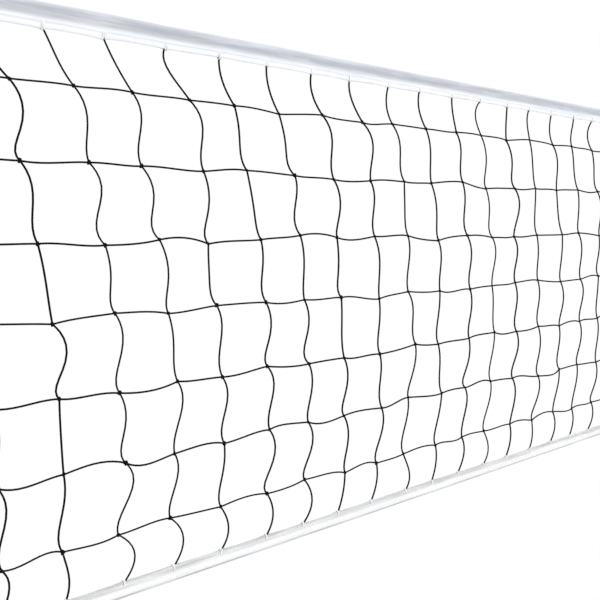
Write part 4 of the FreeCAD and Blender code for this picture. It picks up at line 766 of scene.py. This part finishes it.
# The CAD model holds the mesh in three panels that meet on cords 26 and 52, and so does the scene
PANELS = {"left": (0, 26), "middle": (26, 52), "right": (52, 79)}
for name, (first, last) in PANELS.items():
    cords = slice(first, min(last, CORDS))
    upright, level_rows = joined(uprights[cords]), joined(np.swapaxes(levels[first:last], 0, 1))
    panel = together(
        tubes(upright, twine_at(upright[..., 0], upright_share[cords, None]), TWINE_SIDES, (0, 1, 0)),
        tubes(level_rows, twine_at(level_rows[..., 0], level_share[:, None]), TWINE_SIDES, (0, 1, 0)),
        tie(knots[cords, 1:-1].reshape(-1, 3)),
    )
    piece = add_piece("twine_" + name, *panel, FINISHES["black_twine"], "black_twine", "right_mast")
    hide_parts("net_mesh_" + name)
    print(piece.name, "faces", len(piece.data.polygons), "cords", upright.shape[0])

# %% [markdown]
# ## The bands
#
# Both long bands are tape folded round a line and sewn to itself: the top one round the head cable and the
# bottom one round a rope. A profile is the middle line of the cloth, seen from the net's end, and gets its
# thickness by moving it to both sides. Stitched rows close it, and beyond them the layers part round the
# roll.

# %% Draw a folded profile
CLOTH, TOUCHING = 0.0009, 0.00005


def folded(roll, flap, seam, half_gap, turns=16, flat=4):
    """The cloth's middle line as (across, along) pairs: up the flap's first layer, round the roll, and down.

    The layers touch at the flap's edge, part to half_gap each at the seam, and run straight to the roll."""
    roll = roll - CLOTH / 2
    far = math.hypot(half_gap, seam)
    touch = math.atan2(-seam, half_gap) + math.acos(roll / far)
    around = np.linspace(touch, math.pi - touch, turns)
    arc = np.stack([roll * np.cos(around), roll * np.sin(around)], -1)
    down = np.linspace(-flap, -seam, flat)
    front = np.stack([np.linspace(CLOTH / 2 + TOUCHING, half_gap, flat), down], -1)
    slope = front[-1] + (arc[0] - front[-1]) * np.array([[0.25], [0.5], [0.75]])
    front = np.concatenate([front, slope])
    return np.concatenate([front, arc, front[::-1] * (-1, 1)])


def thickened(line):
    """A closed outline CLOTH thick round an open line, outer side first."""
    along = unit(np.gradient(line, axis=0))
    side = np.stack([along[:, 1], -along[:, 0]], -1)
    return np.concatenate([line + side * CLOTH / 2, (line - side * CLOTH / 2)[::-1]])


def lengths(line):
    return np.concatenate([[0], np.linalg.norm(np.diff(line, axis=0), axis=1).cumsum()])


def strip(stations, vs, width):
    """A closed outline carried through stations (n, m, 3), capped at both ends."""
    number, sides = stations.shape[:2]
    us = np.concatenate([width, width[::-1], width[:1]])
    faces, uvs = grid(number, sides, us, vs[None, :])
    i = np.arange(sides // 2 - 1)
    cap = np.stack([i, i + 1, sides - 2 - i, sides - 1 - i], -1)
    caps = np.concatenate([cap[:, ::-1], cap + (number - 1) * sides])
    uvs = np.concatenate([uvs.reshape(-1, 4, 2), np.zeros((len(caps), 4, 2))])
    return stations.reshape(-1, 3), np.concatenate([faces.reshape(-1, 4), caps]), uvs


TOP_ROLL, TOP_FLAP, TOP_SEAM = 0.011, 0.032, 0.023
LOW_ROLL, LOW_FLAP, LOW_SEAM = 0.006, 0.020, 0.011
HALF_GAP = 0.0012
top_profile = folded(TOP_ROLL, TOP_FLAP, TOP_SEAM, HALF_GAP)
low_profile = folded(LOW_ROLL, LOW_FLAP, LOW_SEAM, HALF_GAP, 12)
print("tape widths:", [round(float(lengths(p)[-1]), 3) for p in (top_profile, low_profile)], "m")

# %% [markdown]
# The tape isn't one white, and its tones are painted shade. The roll of the top band is painted a cool grey
# below its crown, for the shade under it and at its foot, and its flap is clean but for a grey line of
# painted shade along its seam. The bottom band is painted greyest along its upper edge and right under the
# rope, where shade falls. Those tones are given by their distance from the fold, measured along the cloth.

# %% Paint shade into the tapes' tones
# Painted shade: the roll's greys darken its underside and foot, and the grey stops near 4 cm are a line of
# painted shade along the seam
PAINTED_ROLL_HALF_SHADE, ROLL_SHADE, PAINTED_ROLL_FOOT_SHADE = (0.60, 0.61, 0.645), (0.48, 0.495, 0.53), (0.465, 0.475, 0.52)
TOP_PAINTED_SHADE_TONES = (
    (0.0, CLEAN), (0.0080, (0.93, 0.935, 0.94)),
    (0.0130, PAINTED_ROLL_HALF_SHADE), (0.0185, ROLL_SHADE), (0.025, PAINTED_ROLL_FOOT_SHADE),
    (0.030, (0.55, 0.555, 0.60)), (0.034, (0.75, 0.755, 0.785)), (0.0365, CLEAN),
    (0.0390, CLEAN), (0.0400, (0.80, 0.80, 0.81)), (0.0415, (0.82, 0.82, 0.83)), (0.0425, CLEAN),
)
# Painted shade: the greys darken the hem round the rope and the flap's upper edge
PAINTED_SHADE_UNDER_ROPE, HEM_WHITE, PAINTED_HEM_EDGE_SHADE = (0.43, 0.425, 0.41), (0.85, 0.84, 0.82), (0.545, 0.54, 0.525)
LOW_PAINTED_SHADE_TONES = (
    (0.0, (0.58, 0.575, 0.56)), (0.002, (0.45, 0.445, 0.43)), (0.0064, PAINTED_SHADE_UNDER_ROPE),
    (0.0082, (0.83, 0.82, 0.80)), (0.0165, HEM_WHITE),
    (0.0195, (0.66, 0.65, 0.63)), (0.024, PAINTED_HEM_EDGE_SHADE), (0.028, PAINTED_HEM_EDGE_SHADE),
)
TOP_TAPE = woven("white tape of the top band, with painted shade", TOP_PAINTED_SHADE_TONES, float(lengths(top_profile)[-1]), 0.40)
LOW_TAPE = woven("white tape of the bottom band, with painted shade", LOW_PAINTED_SHADE_TONES, float(lengths(low_profile)[-1]), 0.75)
print("toned:", TOP_TAPE.name, "and", LOW_TAPE.name)

# %% [markdown]
# The profile is now carried along the net. Waves of a few lengths, which never line up, make the roll swell
# and slacken, and every cord spreads the two layers of the flap and pulls its edge a little out of line. A
# band keeps that recipe as a function of a place on its profile, so that the stitches can lie on the same
# surface.

# %% Sew the long bands
STATION = 0.02
# Each wave is its longest length and its size
SWELL, EDGE_WAVE, EDGE_RISE = (0.9, 0.014), (0.5, 0.0006), (0.7, 0.0004)
TUG_WIDTH, TUG_OUT, TUG_DOWN = 0.010, 0.0009, 0.0014


def wander(x, seed, longest, size):
    """A smooth wave of several lengths, from a seed."""
    rough = np.random.default_rng(seed)
    total = np.zeros_like(x)
    for octave in range(5):
        waves = 2 * math.pi * x * (octave + 1) ** 1.3 / longest
        total += rough.normal(0, 1) / (1 + octave * 0.6) * np.sin(waves + rough.uniform(0, 6.3))
    return total * size


class Band:
    """A long band: its profile, the height of its line, and way 1 for a flap hanging down or -1 for up."""

    def __init__(self, profile, middle, way, sag, cords, seed):
        self.profile, self.middle, self.way = profile, middle, way
        self.sag, self.cords, self.seed = sag, cords, seed
        self.width = float(lengths(profile)[-1])
        self.flap = -float(profile[:, 1].min())

    def at(self, x, across, along):
        """The place of a point of the profile at each x. The three arrays are spread over each other."""
        edge = np.clip(-along / self.flap, 0, 1) ** 2
        swell = 1 + wander(x, self.seed, *SWELL)
        tug = np.exp(-(((x[..., None] - self.cords) / TUG_WIDTH) ** 2)).sum(-1)
        out = wander(x, self.seed + 1, *EDGE_WAVE) + np.sign(across) * TUG_OUT * tug
        y = across * swell + edge * out
        z = along * swell - edge * (TUG_DOWN * tug + wander(x, self.seed + 2, *EDGE_RISE))
        return np.stack(np.broadcast_arrays(x, y, self.middle - sagged(x, self.sag) + self.way * z), -1)

    def sew(self, name, node, finish):
        x = np.linspace(-HALF_NET, HALF_NET, int(2 * HALF_NET / STATION) + 1)
        outline = thickened(self.profile)
        points = self.at(x[:, None], outline[None, :, 0], outline[None, :, 1])
        if self.way < 0:
            points = points[:, ::-1]
        cloth = strip(points, x + HALF_NET, lengths(self.profile))
        piece = add_piece(name, *cloth, finish, "white_tape", "right_mast")
        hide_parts(node)
        return piece


top = Band(top_profile, TOP_LINE, 1, TOP_SAG, knots[:, 0, 0], 41)
low = Band(low_profile, LOW_LINE, -1, LOW_SAG, knots[:, -1, 0], 52)
top_tape = top.sew("top_tape", "top_band", TOP_TAPE)
low_tape = low.sew("bottom_tape", "bottom_band", LOW_TAPE)
print("bands:", len(top_tape.data.polygons), "and", len(low_tape.data.polygons), "faces")

# %% [markdown]
# ## Stitches
#
# A sewing machine leaves a dashed line: each stitch lies on the cloth and dives into it at both ends.
# Thousands of short arched tubes are cheap with numpy, and they catch the light along the flap better than
# a painted line.

# %% Stitch the long bands
STITCH, STITCH_STEP, THREAD = 0.0052, 0.0070, 0.00040
STITCH_POINTS, THREAD_SIDES = 5, 5
ARCH, DIVE = 1.6, 0.7
ROW_INSET, UNDER_SEAM = 0.004, 0.001
TOP_HEM, LOW_HEM = 0.0045, 0.0035


def stitch_row(start, end, surface, across=(0, 0, 1)):
    """Stitches from start to end. Surface(s, rise) gives points at s along the row, rise over the cloth."""
    begins = np.arange(start, end - STITCH, STITCH_STEP)
    t = np.linspace(0, 1, STITCH_POINTS)
    s = begins[:, None] + STITCH * t
    arch = np.broadcast_to(THREAD * (ARCH * np.sin(math.pi * t) - DIVE), s.shape)
    return tubes(surface(s, arch), THREAD, THREAD_SIDES, across)


def on_flap(profile, depth):
    """How far out the cloth's outer side is, at a depth below the roll's middle."""
    front = profile[: len(profile) // 2]
    return float(np.interp(-depth, front[:, 1], front[:, 0])) + CLOTH / 2


def both_faces(profile, depth, start, end, at, across=(0, 0, 1)):
    """Stitches at a depth on both faces of a flap. At(s, out, along) gives a place on the band."""
    out = on_flap(profile, depth)
    rows = []
    for face in (-1, 1):

        def surface(s, rise, face=face):
            return at(s, face * (out + rise), np.full_like(s, -depth))

        rows.append(stitch_row(start + ROW_INSET, end - ROW_INSET, surface, across))
    return rows


for band, name, depth, thread in (
    (top, "upper_stitches", TOP_SEAM + UNDER_SEAM, SEWING_THREAD),
    (top, "edge_stitches", TOP_FLAP - TOP_HEM, SEWING_THREAD),
    (low, "bottom_stitches", LOW_FLAP - LOW_HEM, GREY_THREAD),
):
    row = together(*both_faces(band.profile, depth, -HALF_NET, HALF_NET, band.at))
    row = add_piece(name, *row, thread, "white_tape", "right_mast")
    print(name, len(row.data.polygons), "faces")

# %% [markdown]
# ## Lashings
#
# Each cord of the mesh ends between the layers of a band, and white thread lashes it there: a few turns
# that go through the cloth and round its edge, so that a small white lump shows over every cord.

# %% Lash the cords to the bands
LASH_THREAD, LASH_STEP, LASH_HALF, LASH_BEYOND = 0.0009, 0.0016, 0.0034, 0.0028
LASH_LEAN, LASH_SLIP = 0.16, 0.0004
LASH_POINTS = 16
INTO_TOP, INTO_LOW, INTO_SIDE = 0.014, 0.011, 0.012


def lashings(places, inward, along, reach, turns=3):
    """Flat loops in the plane of Y and inward, from the cord's end to reach inside the band."""
    a = np.linspace(0, 2 * math.pi, LASH_POINTS, endpoint=False)
    shape = (len(places), turns)
    lean = chance.normal(0, LASH_LEAN, shape)
    offset = (np.arange(turns) - (turns - 1) / 2) * LASH_STEP + chance.normal(0, LASH_SLIP, shape)
    length = reach * chance.uniform(0.8, 1.1, shape)
    loop_in = 0.5 * length[..., None] * (1 + np.sin(a)) - LASH_BEYOND
    sideways = offset[..., None] + lean[..., None] * (loop_in - 0.5 * reach)
    points = places[:, None, None] + loop_in[..., None] * np.asarray(inward, float)
    points = points + sideways[..., None] * np.asarray(along, float)
    points[..., 1] = LASH_HALF * np.cos(a)
    return tubes(points.reshape(-1, LASH_POINTS, 3), LASH_THREAD, THREAD_SIDES, along, closed=True)


upper_ends, lower_ends = knots[:, 0].copy(), knots[:, -1].copy()
upper_ends[:, 2] = TOP_LINE - TOP_FLAP - sagged(cord_x, TOP_SAG)
lower_ends[:, 2] = LOW_LINE + LOW_FLAP - sagged(cord_x, LOW_SAG)
lashed = together(
    lashings(upper_ends, (0, 0, 1), (1, 0, 0), INTO_TOP),
    lashings(lower_ends, (0, 0, -1), (1, 0, 0), INTO_LOW, 2),
    lashings(ends[0], (-1, 0, 0), (0, 0, 1), INTO_SIDE),
    lashings(ends[1], (1, 0, 0), (0, 0, 1), INTO_SIDE),
)
piece = add_piece("cord_lashings", *lashed, SEWING_THREAD, "white_tape", "right_mast")
print("lashings:", 2 * CORDS + 2 * ROWS, "faces", len(piece.data.polygons))

# %% [markdown]
# ## The side bands
#
# At either end the mesh ends in an upright band, folded round a glass fibre rod that spreads the pull of
# the ties. It is the same folded profile, turned a quarter, and brass eyelets go through it. The cloth is
# left open inside each eyelet, under its rim, so that the tie really passes through.

# %% Sew the side bands
ROD_X, SLEEVE, SIDE_FLAP, SIDE_SEAM, SIDE_GAP = 4.7417, 0.0083, 0.0417, 0.013, 0.00155
EYELET_X, EYELET_Z, EYELET_HOLE = 4.715, (2.360, 1.940), 0.0058
SIDE_WAVE, SIDE_EDGE_WAVE, SIDE_STATIONS = (0.4, 0.0003), (0.5, 0.0005), 353
SIDE_HEM = 0.003
side_profile = folded(SLEEVE, SIDE_FLAP, SIDE_SEAM, SIDE_GAP, 14, 13)


def side_at(way, z, across, along):
    """A point of the side band's profile at height z. Way is -1 for the left end."""
    edge = np.clip(-along / SIDE_FLAP, 0, 1) ** 2
    y = across + edge * wander(z, 60 + way, *SIDE_WAVE)
    x = ROD_X + along + edge * wander(z, 64 + way, *SIDE_EDGE_WAVE)
    return np.stack(np.broadcast_arrays(way * x, -way * y, z), -1)


def side_band(side, way):
    """One side band with its open eyelets and its two stitched rows."""
    z = np.linspace(LOW_EDGE, TOP_EDGE, SIDE_STATIONS)
    outline = thickened(side_profile)
    points = side_at(way, z[:, None], outline[None, :, 0], outline[None, :, 1])
    points, faces, uvs = strip(points, z, lengths(side_profile))
    middle = points[faces].mean(1)
    opened = np.zeros(len(faces), bool)
    for eyelet_z in EYELET_Z:
        away = np.hypot(np.abs(middle[:, 0]) - EYELET_X, middle[:, 2] - eyelet_z)
        opened |= away < EYELET_HOLE
    cloth = points, faces[~opened], uvs[~opened]
    piece = add_piece(side + "_side_tape", *cloth, FINISHES["white_tape"], "white_tape", "right_mast")
    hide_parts(side + "_side_band")
    flat = float(lengths(side_profile)[-1]), TOP_EDGE - LOW_EDGE

    def at(z, across, along):
        return side_at(way, z, across, along)

    rows = []
    for depth in (SIDE_SEAM + UNDER_SEAM, SIDE_FLAP - SIDE_HEM):
        rows += both_faces(side_profile, depth, LOW_EDGE, TOP_EDGE, at, (1, 0, 0))
    add_piece(side + "_side_stitches", *together(*rows), SEWING_THREAD, "white_tape", "right_mast")
    print(piece.name, len(piece.data.polygons), "faces, opened", int(opened.sum()))


for side, way in (("left", -1), ("right", 1)):
    side_band(side, way)

# %% [markdown]
# ## Ropes on smooth lines
#
# A rope can't turn a sharp corner, and neither can a NURBS curve of order 3. A few control points steer the
# curve, and Blender works out the smooth line. A tube then follows that line. Round a pin, a pulley or a
# drum the control points are the corners of a polygon of twelve sides that just touches the rope's line.

# %% Make the rope helpers
CORNERS_A_TURN = 12
CORNER = 360 / CORNERS_A_TURN
# Angles in degrees from one leg of a loop, round the far side of its pin, to the other leg
ROUND_A_PIN = (-75, -285)
ROPE_SIDES, TIE_SIDES = 12, 10
END_CAP, END_SHARE = 0.35, 0.45
OVERHAND_POINTS, OVERHAND_FLAT, OVERHAND_SIDES, OFF_MIDDLE = 48, 0.8, 10, 1e-4


def smooth_line(route):
    """The points of a NURBS curve of order 3 whose control points are the route."""
    curve = bpy.data.curves.new("route", "CURVE")
    curve.dimensions = "3D"
    spline = curve.splines.new("NURBS")
    spline.points.add(len(route) - 1)
    for point, place in zip(spline.points, route):
        point.co = (*place, 1)
    spline.order_u = 3
    spline.use_endpoint_u = True
    spline.resolution_u = 6
    holder = bpy.data.objects.new("route", curve)
    bpy.context.scene.collection.objects.link(holder)
    line = bpy.data.meshes.new_from_object(holder)
    points = np.array([tuple(vertex.co) for vertex in line.vertices])
    bpy.data.objects.remove(holder)
    bpy.data.curves.remove(curve)
    bpy.data.meshes.remove(line)
    return points


def corners_round(radius, first, last):
    """The polygon's corners from one angle to another in degrees, as pairs from the circle's middle."""
    out = radius / math.cos(math.radians(CORNER / 2))
    angles = np.radians(np.linspace(first, last, round(abs(last - first) / CORNER) + 1))
    return [(out * math.cos(a), out * math.sin(a)) for a in angles]


def rope_on(name, route, radius, sides, across, finish, slot, body="right_mast"):
    """A round rope along the route, with rounded ends. Returns the piece and the line that it follows."""
    line = smooth_line(route)
    before, after = unit(line[0] - line[1]), unit(line[-1] - line[-2])
    first, last = line[0] + before * radius * END_CAP, line[-1] + after * radius * END_CAP
    ended = np.concatenate([[first], line, [last]])
    thick = np.full(len(ended), radius)
    thick[[0, -1]] = radius * END_SHARE
    piece = add_piece(name, *tubes(ended[None], thick[None], sides, across), finish, slot, body)
    return piece, line


def overhand(middle, size, radius, turn):
    """A small overhand knot pulled tight: a closed trefoil of rope, turned about Z."""
    x, z, y = trefoil(OVERHAND_POINTS, OVERHAND_FLAT)
    c, s = math.cos(turn), math.sin(turn)
    points = middle + size * np.stack([c * z - s * x, s * z + c * x, y], -1)
    paths, tangent = closed_up(points[None])
    return skinned(paths, tangent, paths - middle + (0, 0, OFF_MIDDLE), radius, OVERHAND_SIDES)


print("rope helpers ready")

# %% [markdown]
# ## The head cable
#
# It starts in a loop round a pin at the left post, closed by a ferrule, runs straight through the roll of
# the top band, turns down over the pulley on the right post, and goes most of a turn round the drum. The
# turns already stored on the drum go round with it, so they are a piece of their own.

# %% Run the head cable
POST_X, CABLE = 5.1, 0.0025
LOOP, LEGS_MEET, LEG_GAP = 0.012, 0.036, 0.0064
TAIL_PAST, LEG_PAST = (0.032, 0.012, -0.002), (-0.002, 0.012)
PULLEY, OVER_THE_PULLEY = 0.056, (105, -15)
DRUM, DRUM_X, DRUM_Z, DRUM_PITCH = 0.027, 5.183, 1.680, 0.0055
DRUM_START, DRUM_END = 165, 495


def in_plane(pairs, x, z):
    return [(x + a, 0, z + b) for a, b in pairs]


tail = [(-POST_X + LEGS_MEET + past, 0, TOP_LINE - LEG_GAP) for past in TAIL_PAST]
loop = in_plane(corners_round(LOOP, *ROUND_A_PIN), -POST_X, TOP_LINE - LEG_GAP / 2)
leg = [(-POST_X + LEGS_MEET + past, 0, TOP_LINE) for past in LEG_PAST]
middle = [(0, 0, TOP_LINE - 2 * TOP_SAG)]
over = in_plane(corners_round(PULLEY, *OVER_THE_PULLEY), POST_X, TOP_LINE - PULLEY)
wrap = in_plane(corners_round(DRUM, DRUM_START, DRUM_END), DRUM_X, DRUM_Z)
route = tail + loop + leg + middle + over + wrap
steel = FINISHES["cable_coat"], "cable_coat"
head_cable, line = rope_on("head_cable_run", route, CABLE, ROPE_SIDES, (0, 1, 0), *steel)
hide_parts("head_cable")
print("head cable:", round(float(lengths(line)[-1]), 3), "m along", len(route), "control points")

# %% [markdown]
# The stored turns lie side by side, one pitch apart, and turn with the drum.

# %% Wind the stored turns
TURNS = 4
stored = []
for number, (a, b) in enumerate(corners_round(DRUM, DRUM_START, DRUM_START + 360 * TURNS)):
    turned = min(TURNS, max(0, (number - 0.5) / CORNERS_A_TURN))
    stored.append((DRUM_X + a, -DRUM_PITCH * (1 + turned), DRUM_Z + b))
winding, line = rope_on("stored_turns", stored, CABLE, ROPE_SIDES, (0, 1, 0), *steel, "drum")
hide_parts("cable_winding")
print("stored:", round(float(lengths(line)[-1]), 3), "m of cable")

# %% [markdown]
# ## The bottom rope and the ties
#
# The bottom rope goes through the eyes of the lowest hooks and back, and is knotted to itself.

# %% Run the bottom rope
ROPE, ROPE_LOOP, ROPE_LOOP_X, ROPE_LEGS = 0.003, 0.012, 5.0258, 0.0065
KNOT_FROM_LOOP, KNOT_DEEP, TAIL = 0.055, 0.0004, 0.065
BEFORE_KNOT, AFTER_KNOT = 0.004, 0.030
ROPE_KNOT, ROPE_IN_KNOT, ROPE_KNOT_TURN = 0.0022, 0.0026, 0.3


def rope_end(way):
    """The end's control points in the plane of X and Y, from the tail's end to the main run."""
    pairs = [(TAIL, -ROPE_LEGS / 2), (KNOT_FROM_LOOP - BEFORE_KNOT, -ROPE_LEGS / 2 - KNOT_DEEP)]
    pairs += corners_round(ROPE_LOOP, *ROUND_A_PIN)
    pairs += [(KNOT_FROM_LOOP - BEFORE_KNOT, ROPE_LEGS / 2), (KNOT_FROM_LOOP + AFTER_KNOT, ROPE_LEGS / 2)]
    return [(way * (ROPE_LOOP_X - a), b - ROPE_LEGS / 2, LOW_LINE) for a, b in pairs]


route = rope_end(-1) + [(0, 0, LOW_LINE - 2 * LOW_SAG)] + rope_end(1)[::-1]
braided = FINISHES["cord"], "cord"
bottom_rope, line = rope_on("bottom_rope_run", route, ROPE, ROPE_SIDES, (0, 0, 1), *braided)
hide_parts("bottom_rope")
rope_knots = []
for way in (-1, 1):
    place = way * (ROPE_LOOP_X - KNOT_FROM_LOOP), -ROPE_LEGS / 2, LOW_LINE
    rope_knots.append(overhand(place, ROPE_KNOT, ROPE_IN_KNOT, ROPE_KNOT_TURN * way))
add_piece("bottom_rope_knots", *together(*rope_knots), *braided, "right_mast")
print("bottom rope:", round(float(lengths(line)[-1]), 3), "m")

# %% [markdown]
# A tie goes through an eyelet and a hook's eye, and its two ends meet in a knot on the front leg, with
# short tails that hang a little. Its route is worked out flat, as distances from the hook's turn and out of
# the net, and is then laid along the line from the hook to the eyelet.

# %% Tie the net to the posts
TIE, TIE_TURN = 0.0025, 0.0111
TIES = (("upper", 2.270, 2.360), ("middle", 1.940, 1.940))
HOOK_X, HOOK_SEAT, EYELET_SEAT = 5.040, 0.01576, 0.01172
KNOT_SHARE, KNOT_OUT = 0.25, 0.001
TIE_KNOT, TIE_IN_KNOT, TIE_KNOT_TURN = 0.0019, 0.0022, 0.5
# Each end's points before and after its turns, measured from the knot and from the front leg
FIRST_END = ((-0.010, -0.0062), (-0.002, -0.0030), (-0.020, 0.0))
LAST_END = ((0.020, 0.0), (0.002, -0.0030), (0.012, -0.0062))
FIRST_DROP, LAST_DROP = 0.0120, 0.0156
ROUND_THE_EYELET = (105, -105)


def tie_route(reach, at_knot):
    """Pairs of distances: along from the hook's turn, and out of the net's plane."""
    pairs = [(at_knot + a, b - TIE_TURN) for a, b in FIRST_END]
    pairs += corners_round(TIE_TURN, *ROUND_A_PIN)
    pairs += [(reach + a, b) for a, b in corners_round(TIE_TURN, *ROUND_THE_EYELET)]
    return pairs + [(at_knot + a, b - TIE_TURN) for a, b in LAST_END]


for side, way in (("left", -1), ("right", 1)):
    for name, hook_z, eyelet_z in TIES:
        hook, eyelet = np.array([way * HOOK_X, 0, hook_z]), np.array([way * EYELET_X, 0, eyelet_z])
        along = unit(eyelet - hook)
        near, far = hook + along * HOOK_SEAT, eyelet - along * EYELET_SEAT
        reach = float(np.linalg.norm(far - near))
        at_knot = KNOT_SHARE * reach
        route = np.array([near + along * a + (0, b, 0) for a, b in tie_route(reach, at_knot)])
        route[[0, -1], 2] -= FIRST_DROP, LAST_DROP
        across = unit(np.cross(along, (0, 1, 0)))
        tie_rope, line = rope_on(f"{side}_{name}_tie", route, TIE, TIE_SIDES, across, *braided)
        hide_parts("tie_cords")
        place = near + along * at_knot - (0, TIE_TURN + KNOT_OUT, 0)
        knot = overhand(place, TIE_KNOT, TIE_IN_KNOT, TIE_KNOT_TURN * way)
        add_piece(f"{side}_{name}_knot", *knot, *braided, "right_mast")
        print(tie_rope.name, round(float(lengths(line)[-1]), 3), "m")

# %% [markdown]
# ## Weld beads
#
# The base plate, tube and gussets are welded. A bead is a ripple of overlapping drops along the joint, so
# it is a tube whose radius rises and falls every few millimetres, sunk halfway into the corner.

# %% Lay the weld beads
PLATE_TOP, TUBE_RADIUS, GUSSET_REACH, GUSSET_RISE, GUSSET_HALF = 0.010, 0.04445, 0.105, 0.140, 0.004
BEAD, RIPPLE, RIPPLE_RISE, UNEVEN_BEAD, BEAD_END = 0.0032, 0.0034, 0.13, (0.05, 0.035), 0.35
BEAD_STEP, BEAD_SIDES = RIPPLE / 4, 8
BEAD_OUT, BEAD_ASIDE = 0.0006, 0.0004
SHORT_OUT, SHORT_UP = 0.002, 0.003
GUSSET_ROOM = 0.03
GUSSET_TURN = math.asin(GUSSET_HALF / TUBE_RADIUS) + GUSSET_ROOM


def straight(start, end):
    start, end = np.asarray(start, float), np.asarray(end, float)
    steps = int(np.linalg.norm(end - start) / BEAD_STEP)
    return start + (end - start) * np.linspace(0, 1, steps)[:, None]


def round_arc(middle, radius, first, last):
    a = np.linspace(first, last, int(radius * abs(last - first) / BEAD_STEP))
    return np.asarray(middle) + radius * np.stack([np.cos(a), np.sin(a), 0 * a], -1)


def bead(path, across):
    """A rippled tube along a path of short steps."""
    run = lengths(path)
    ripple = RIPPLE_RISE * np.sin(2 * math.pi * run / RIPPLE)
    thick = BEAD * (1 + ripple + wander(run, len(path), *UNEVEN_BEAD))
    thick[[0, -1]] *= BEAD_END
    return tubes(path[None], thick[None], BEAD_SIDES, across)


def gusset_beads(x, turn, face):
    """Beads along the foot and the back of a gusset, on one face. It stands at an angle on the tube at x."""
    c, s = round(math.cos(turn)), round(math.sin(turn))
    aside = face * (GUSSET_HALF + BEAD_ASIDE)

    def spot(out, up):
        return x + c * (TUBE_RADIUS + out) - s * aside, s * (TUBE_RADIUS + out) + c * aside, up

    foot = straight(spot(SHORT_OUT, PLATE_TOP), spot(GUSSET_REACH - SHORT_OUT, PLATE_TOP))
    back = straight(spot(0, PLATE_TOP + SHORT_UP), spot(0, PLATE_TOP + GUSSET_RISE - SHORT_UP))
    return bead(foot, (0, 0, 1)), bead(back, (c, s, 0))


def beads(x):
    """The beads of the base at x: four arcs round the tube, and those of the gussets between them."""
    laid = []
    for quarter in range(4):
        turn = quarter * math.pi / 2
        first, last = turn + GUSSET_TURN, turn + math.pi / 2 - GUSSET_TURN
        laid.append(bead(round_arc((x, 0, PLATE_TOP), TUBE_RADIUS + BEAD_OUT, first, last), (0, 0, 1)))
        for face in (-1, 1):
            laid += gusset_beads(x, turn, face)
    return together(*laid)


for side, way in (("left", -1), ("right", 1)):
    shape = beads(way * POST_X)
    welds = add_piece(side + "_weld_beads", *shape, FINISHES["post_paint"], "post_paint", "posts")
    print(welds.name, len(welds.data.polygons), "faces")
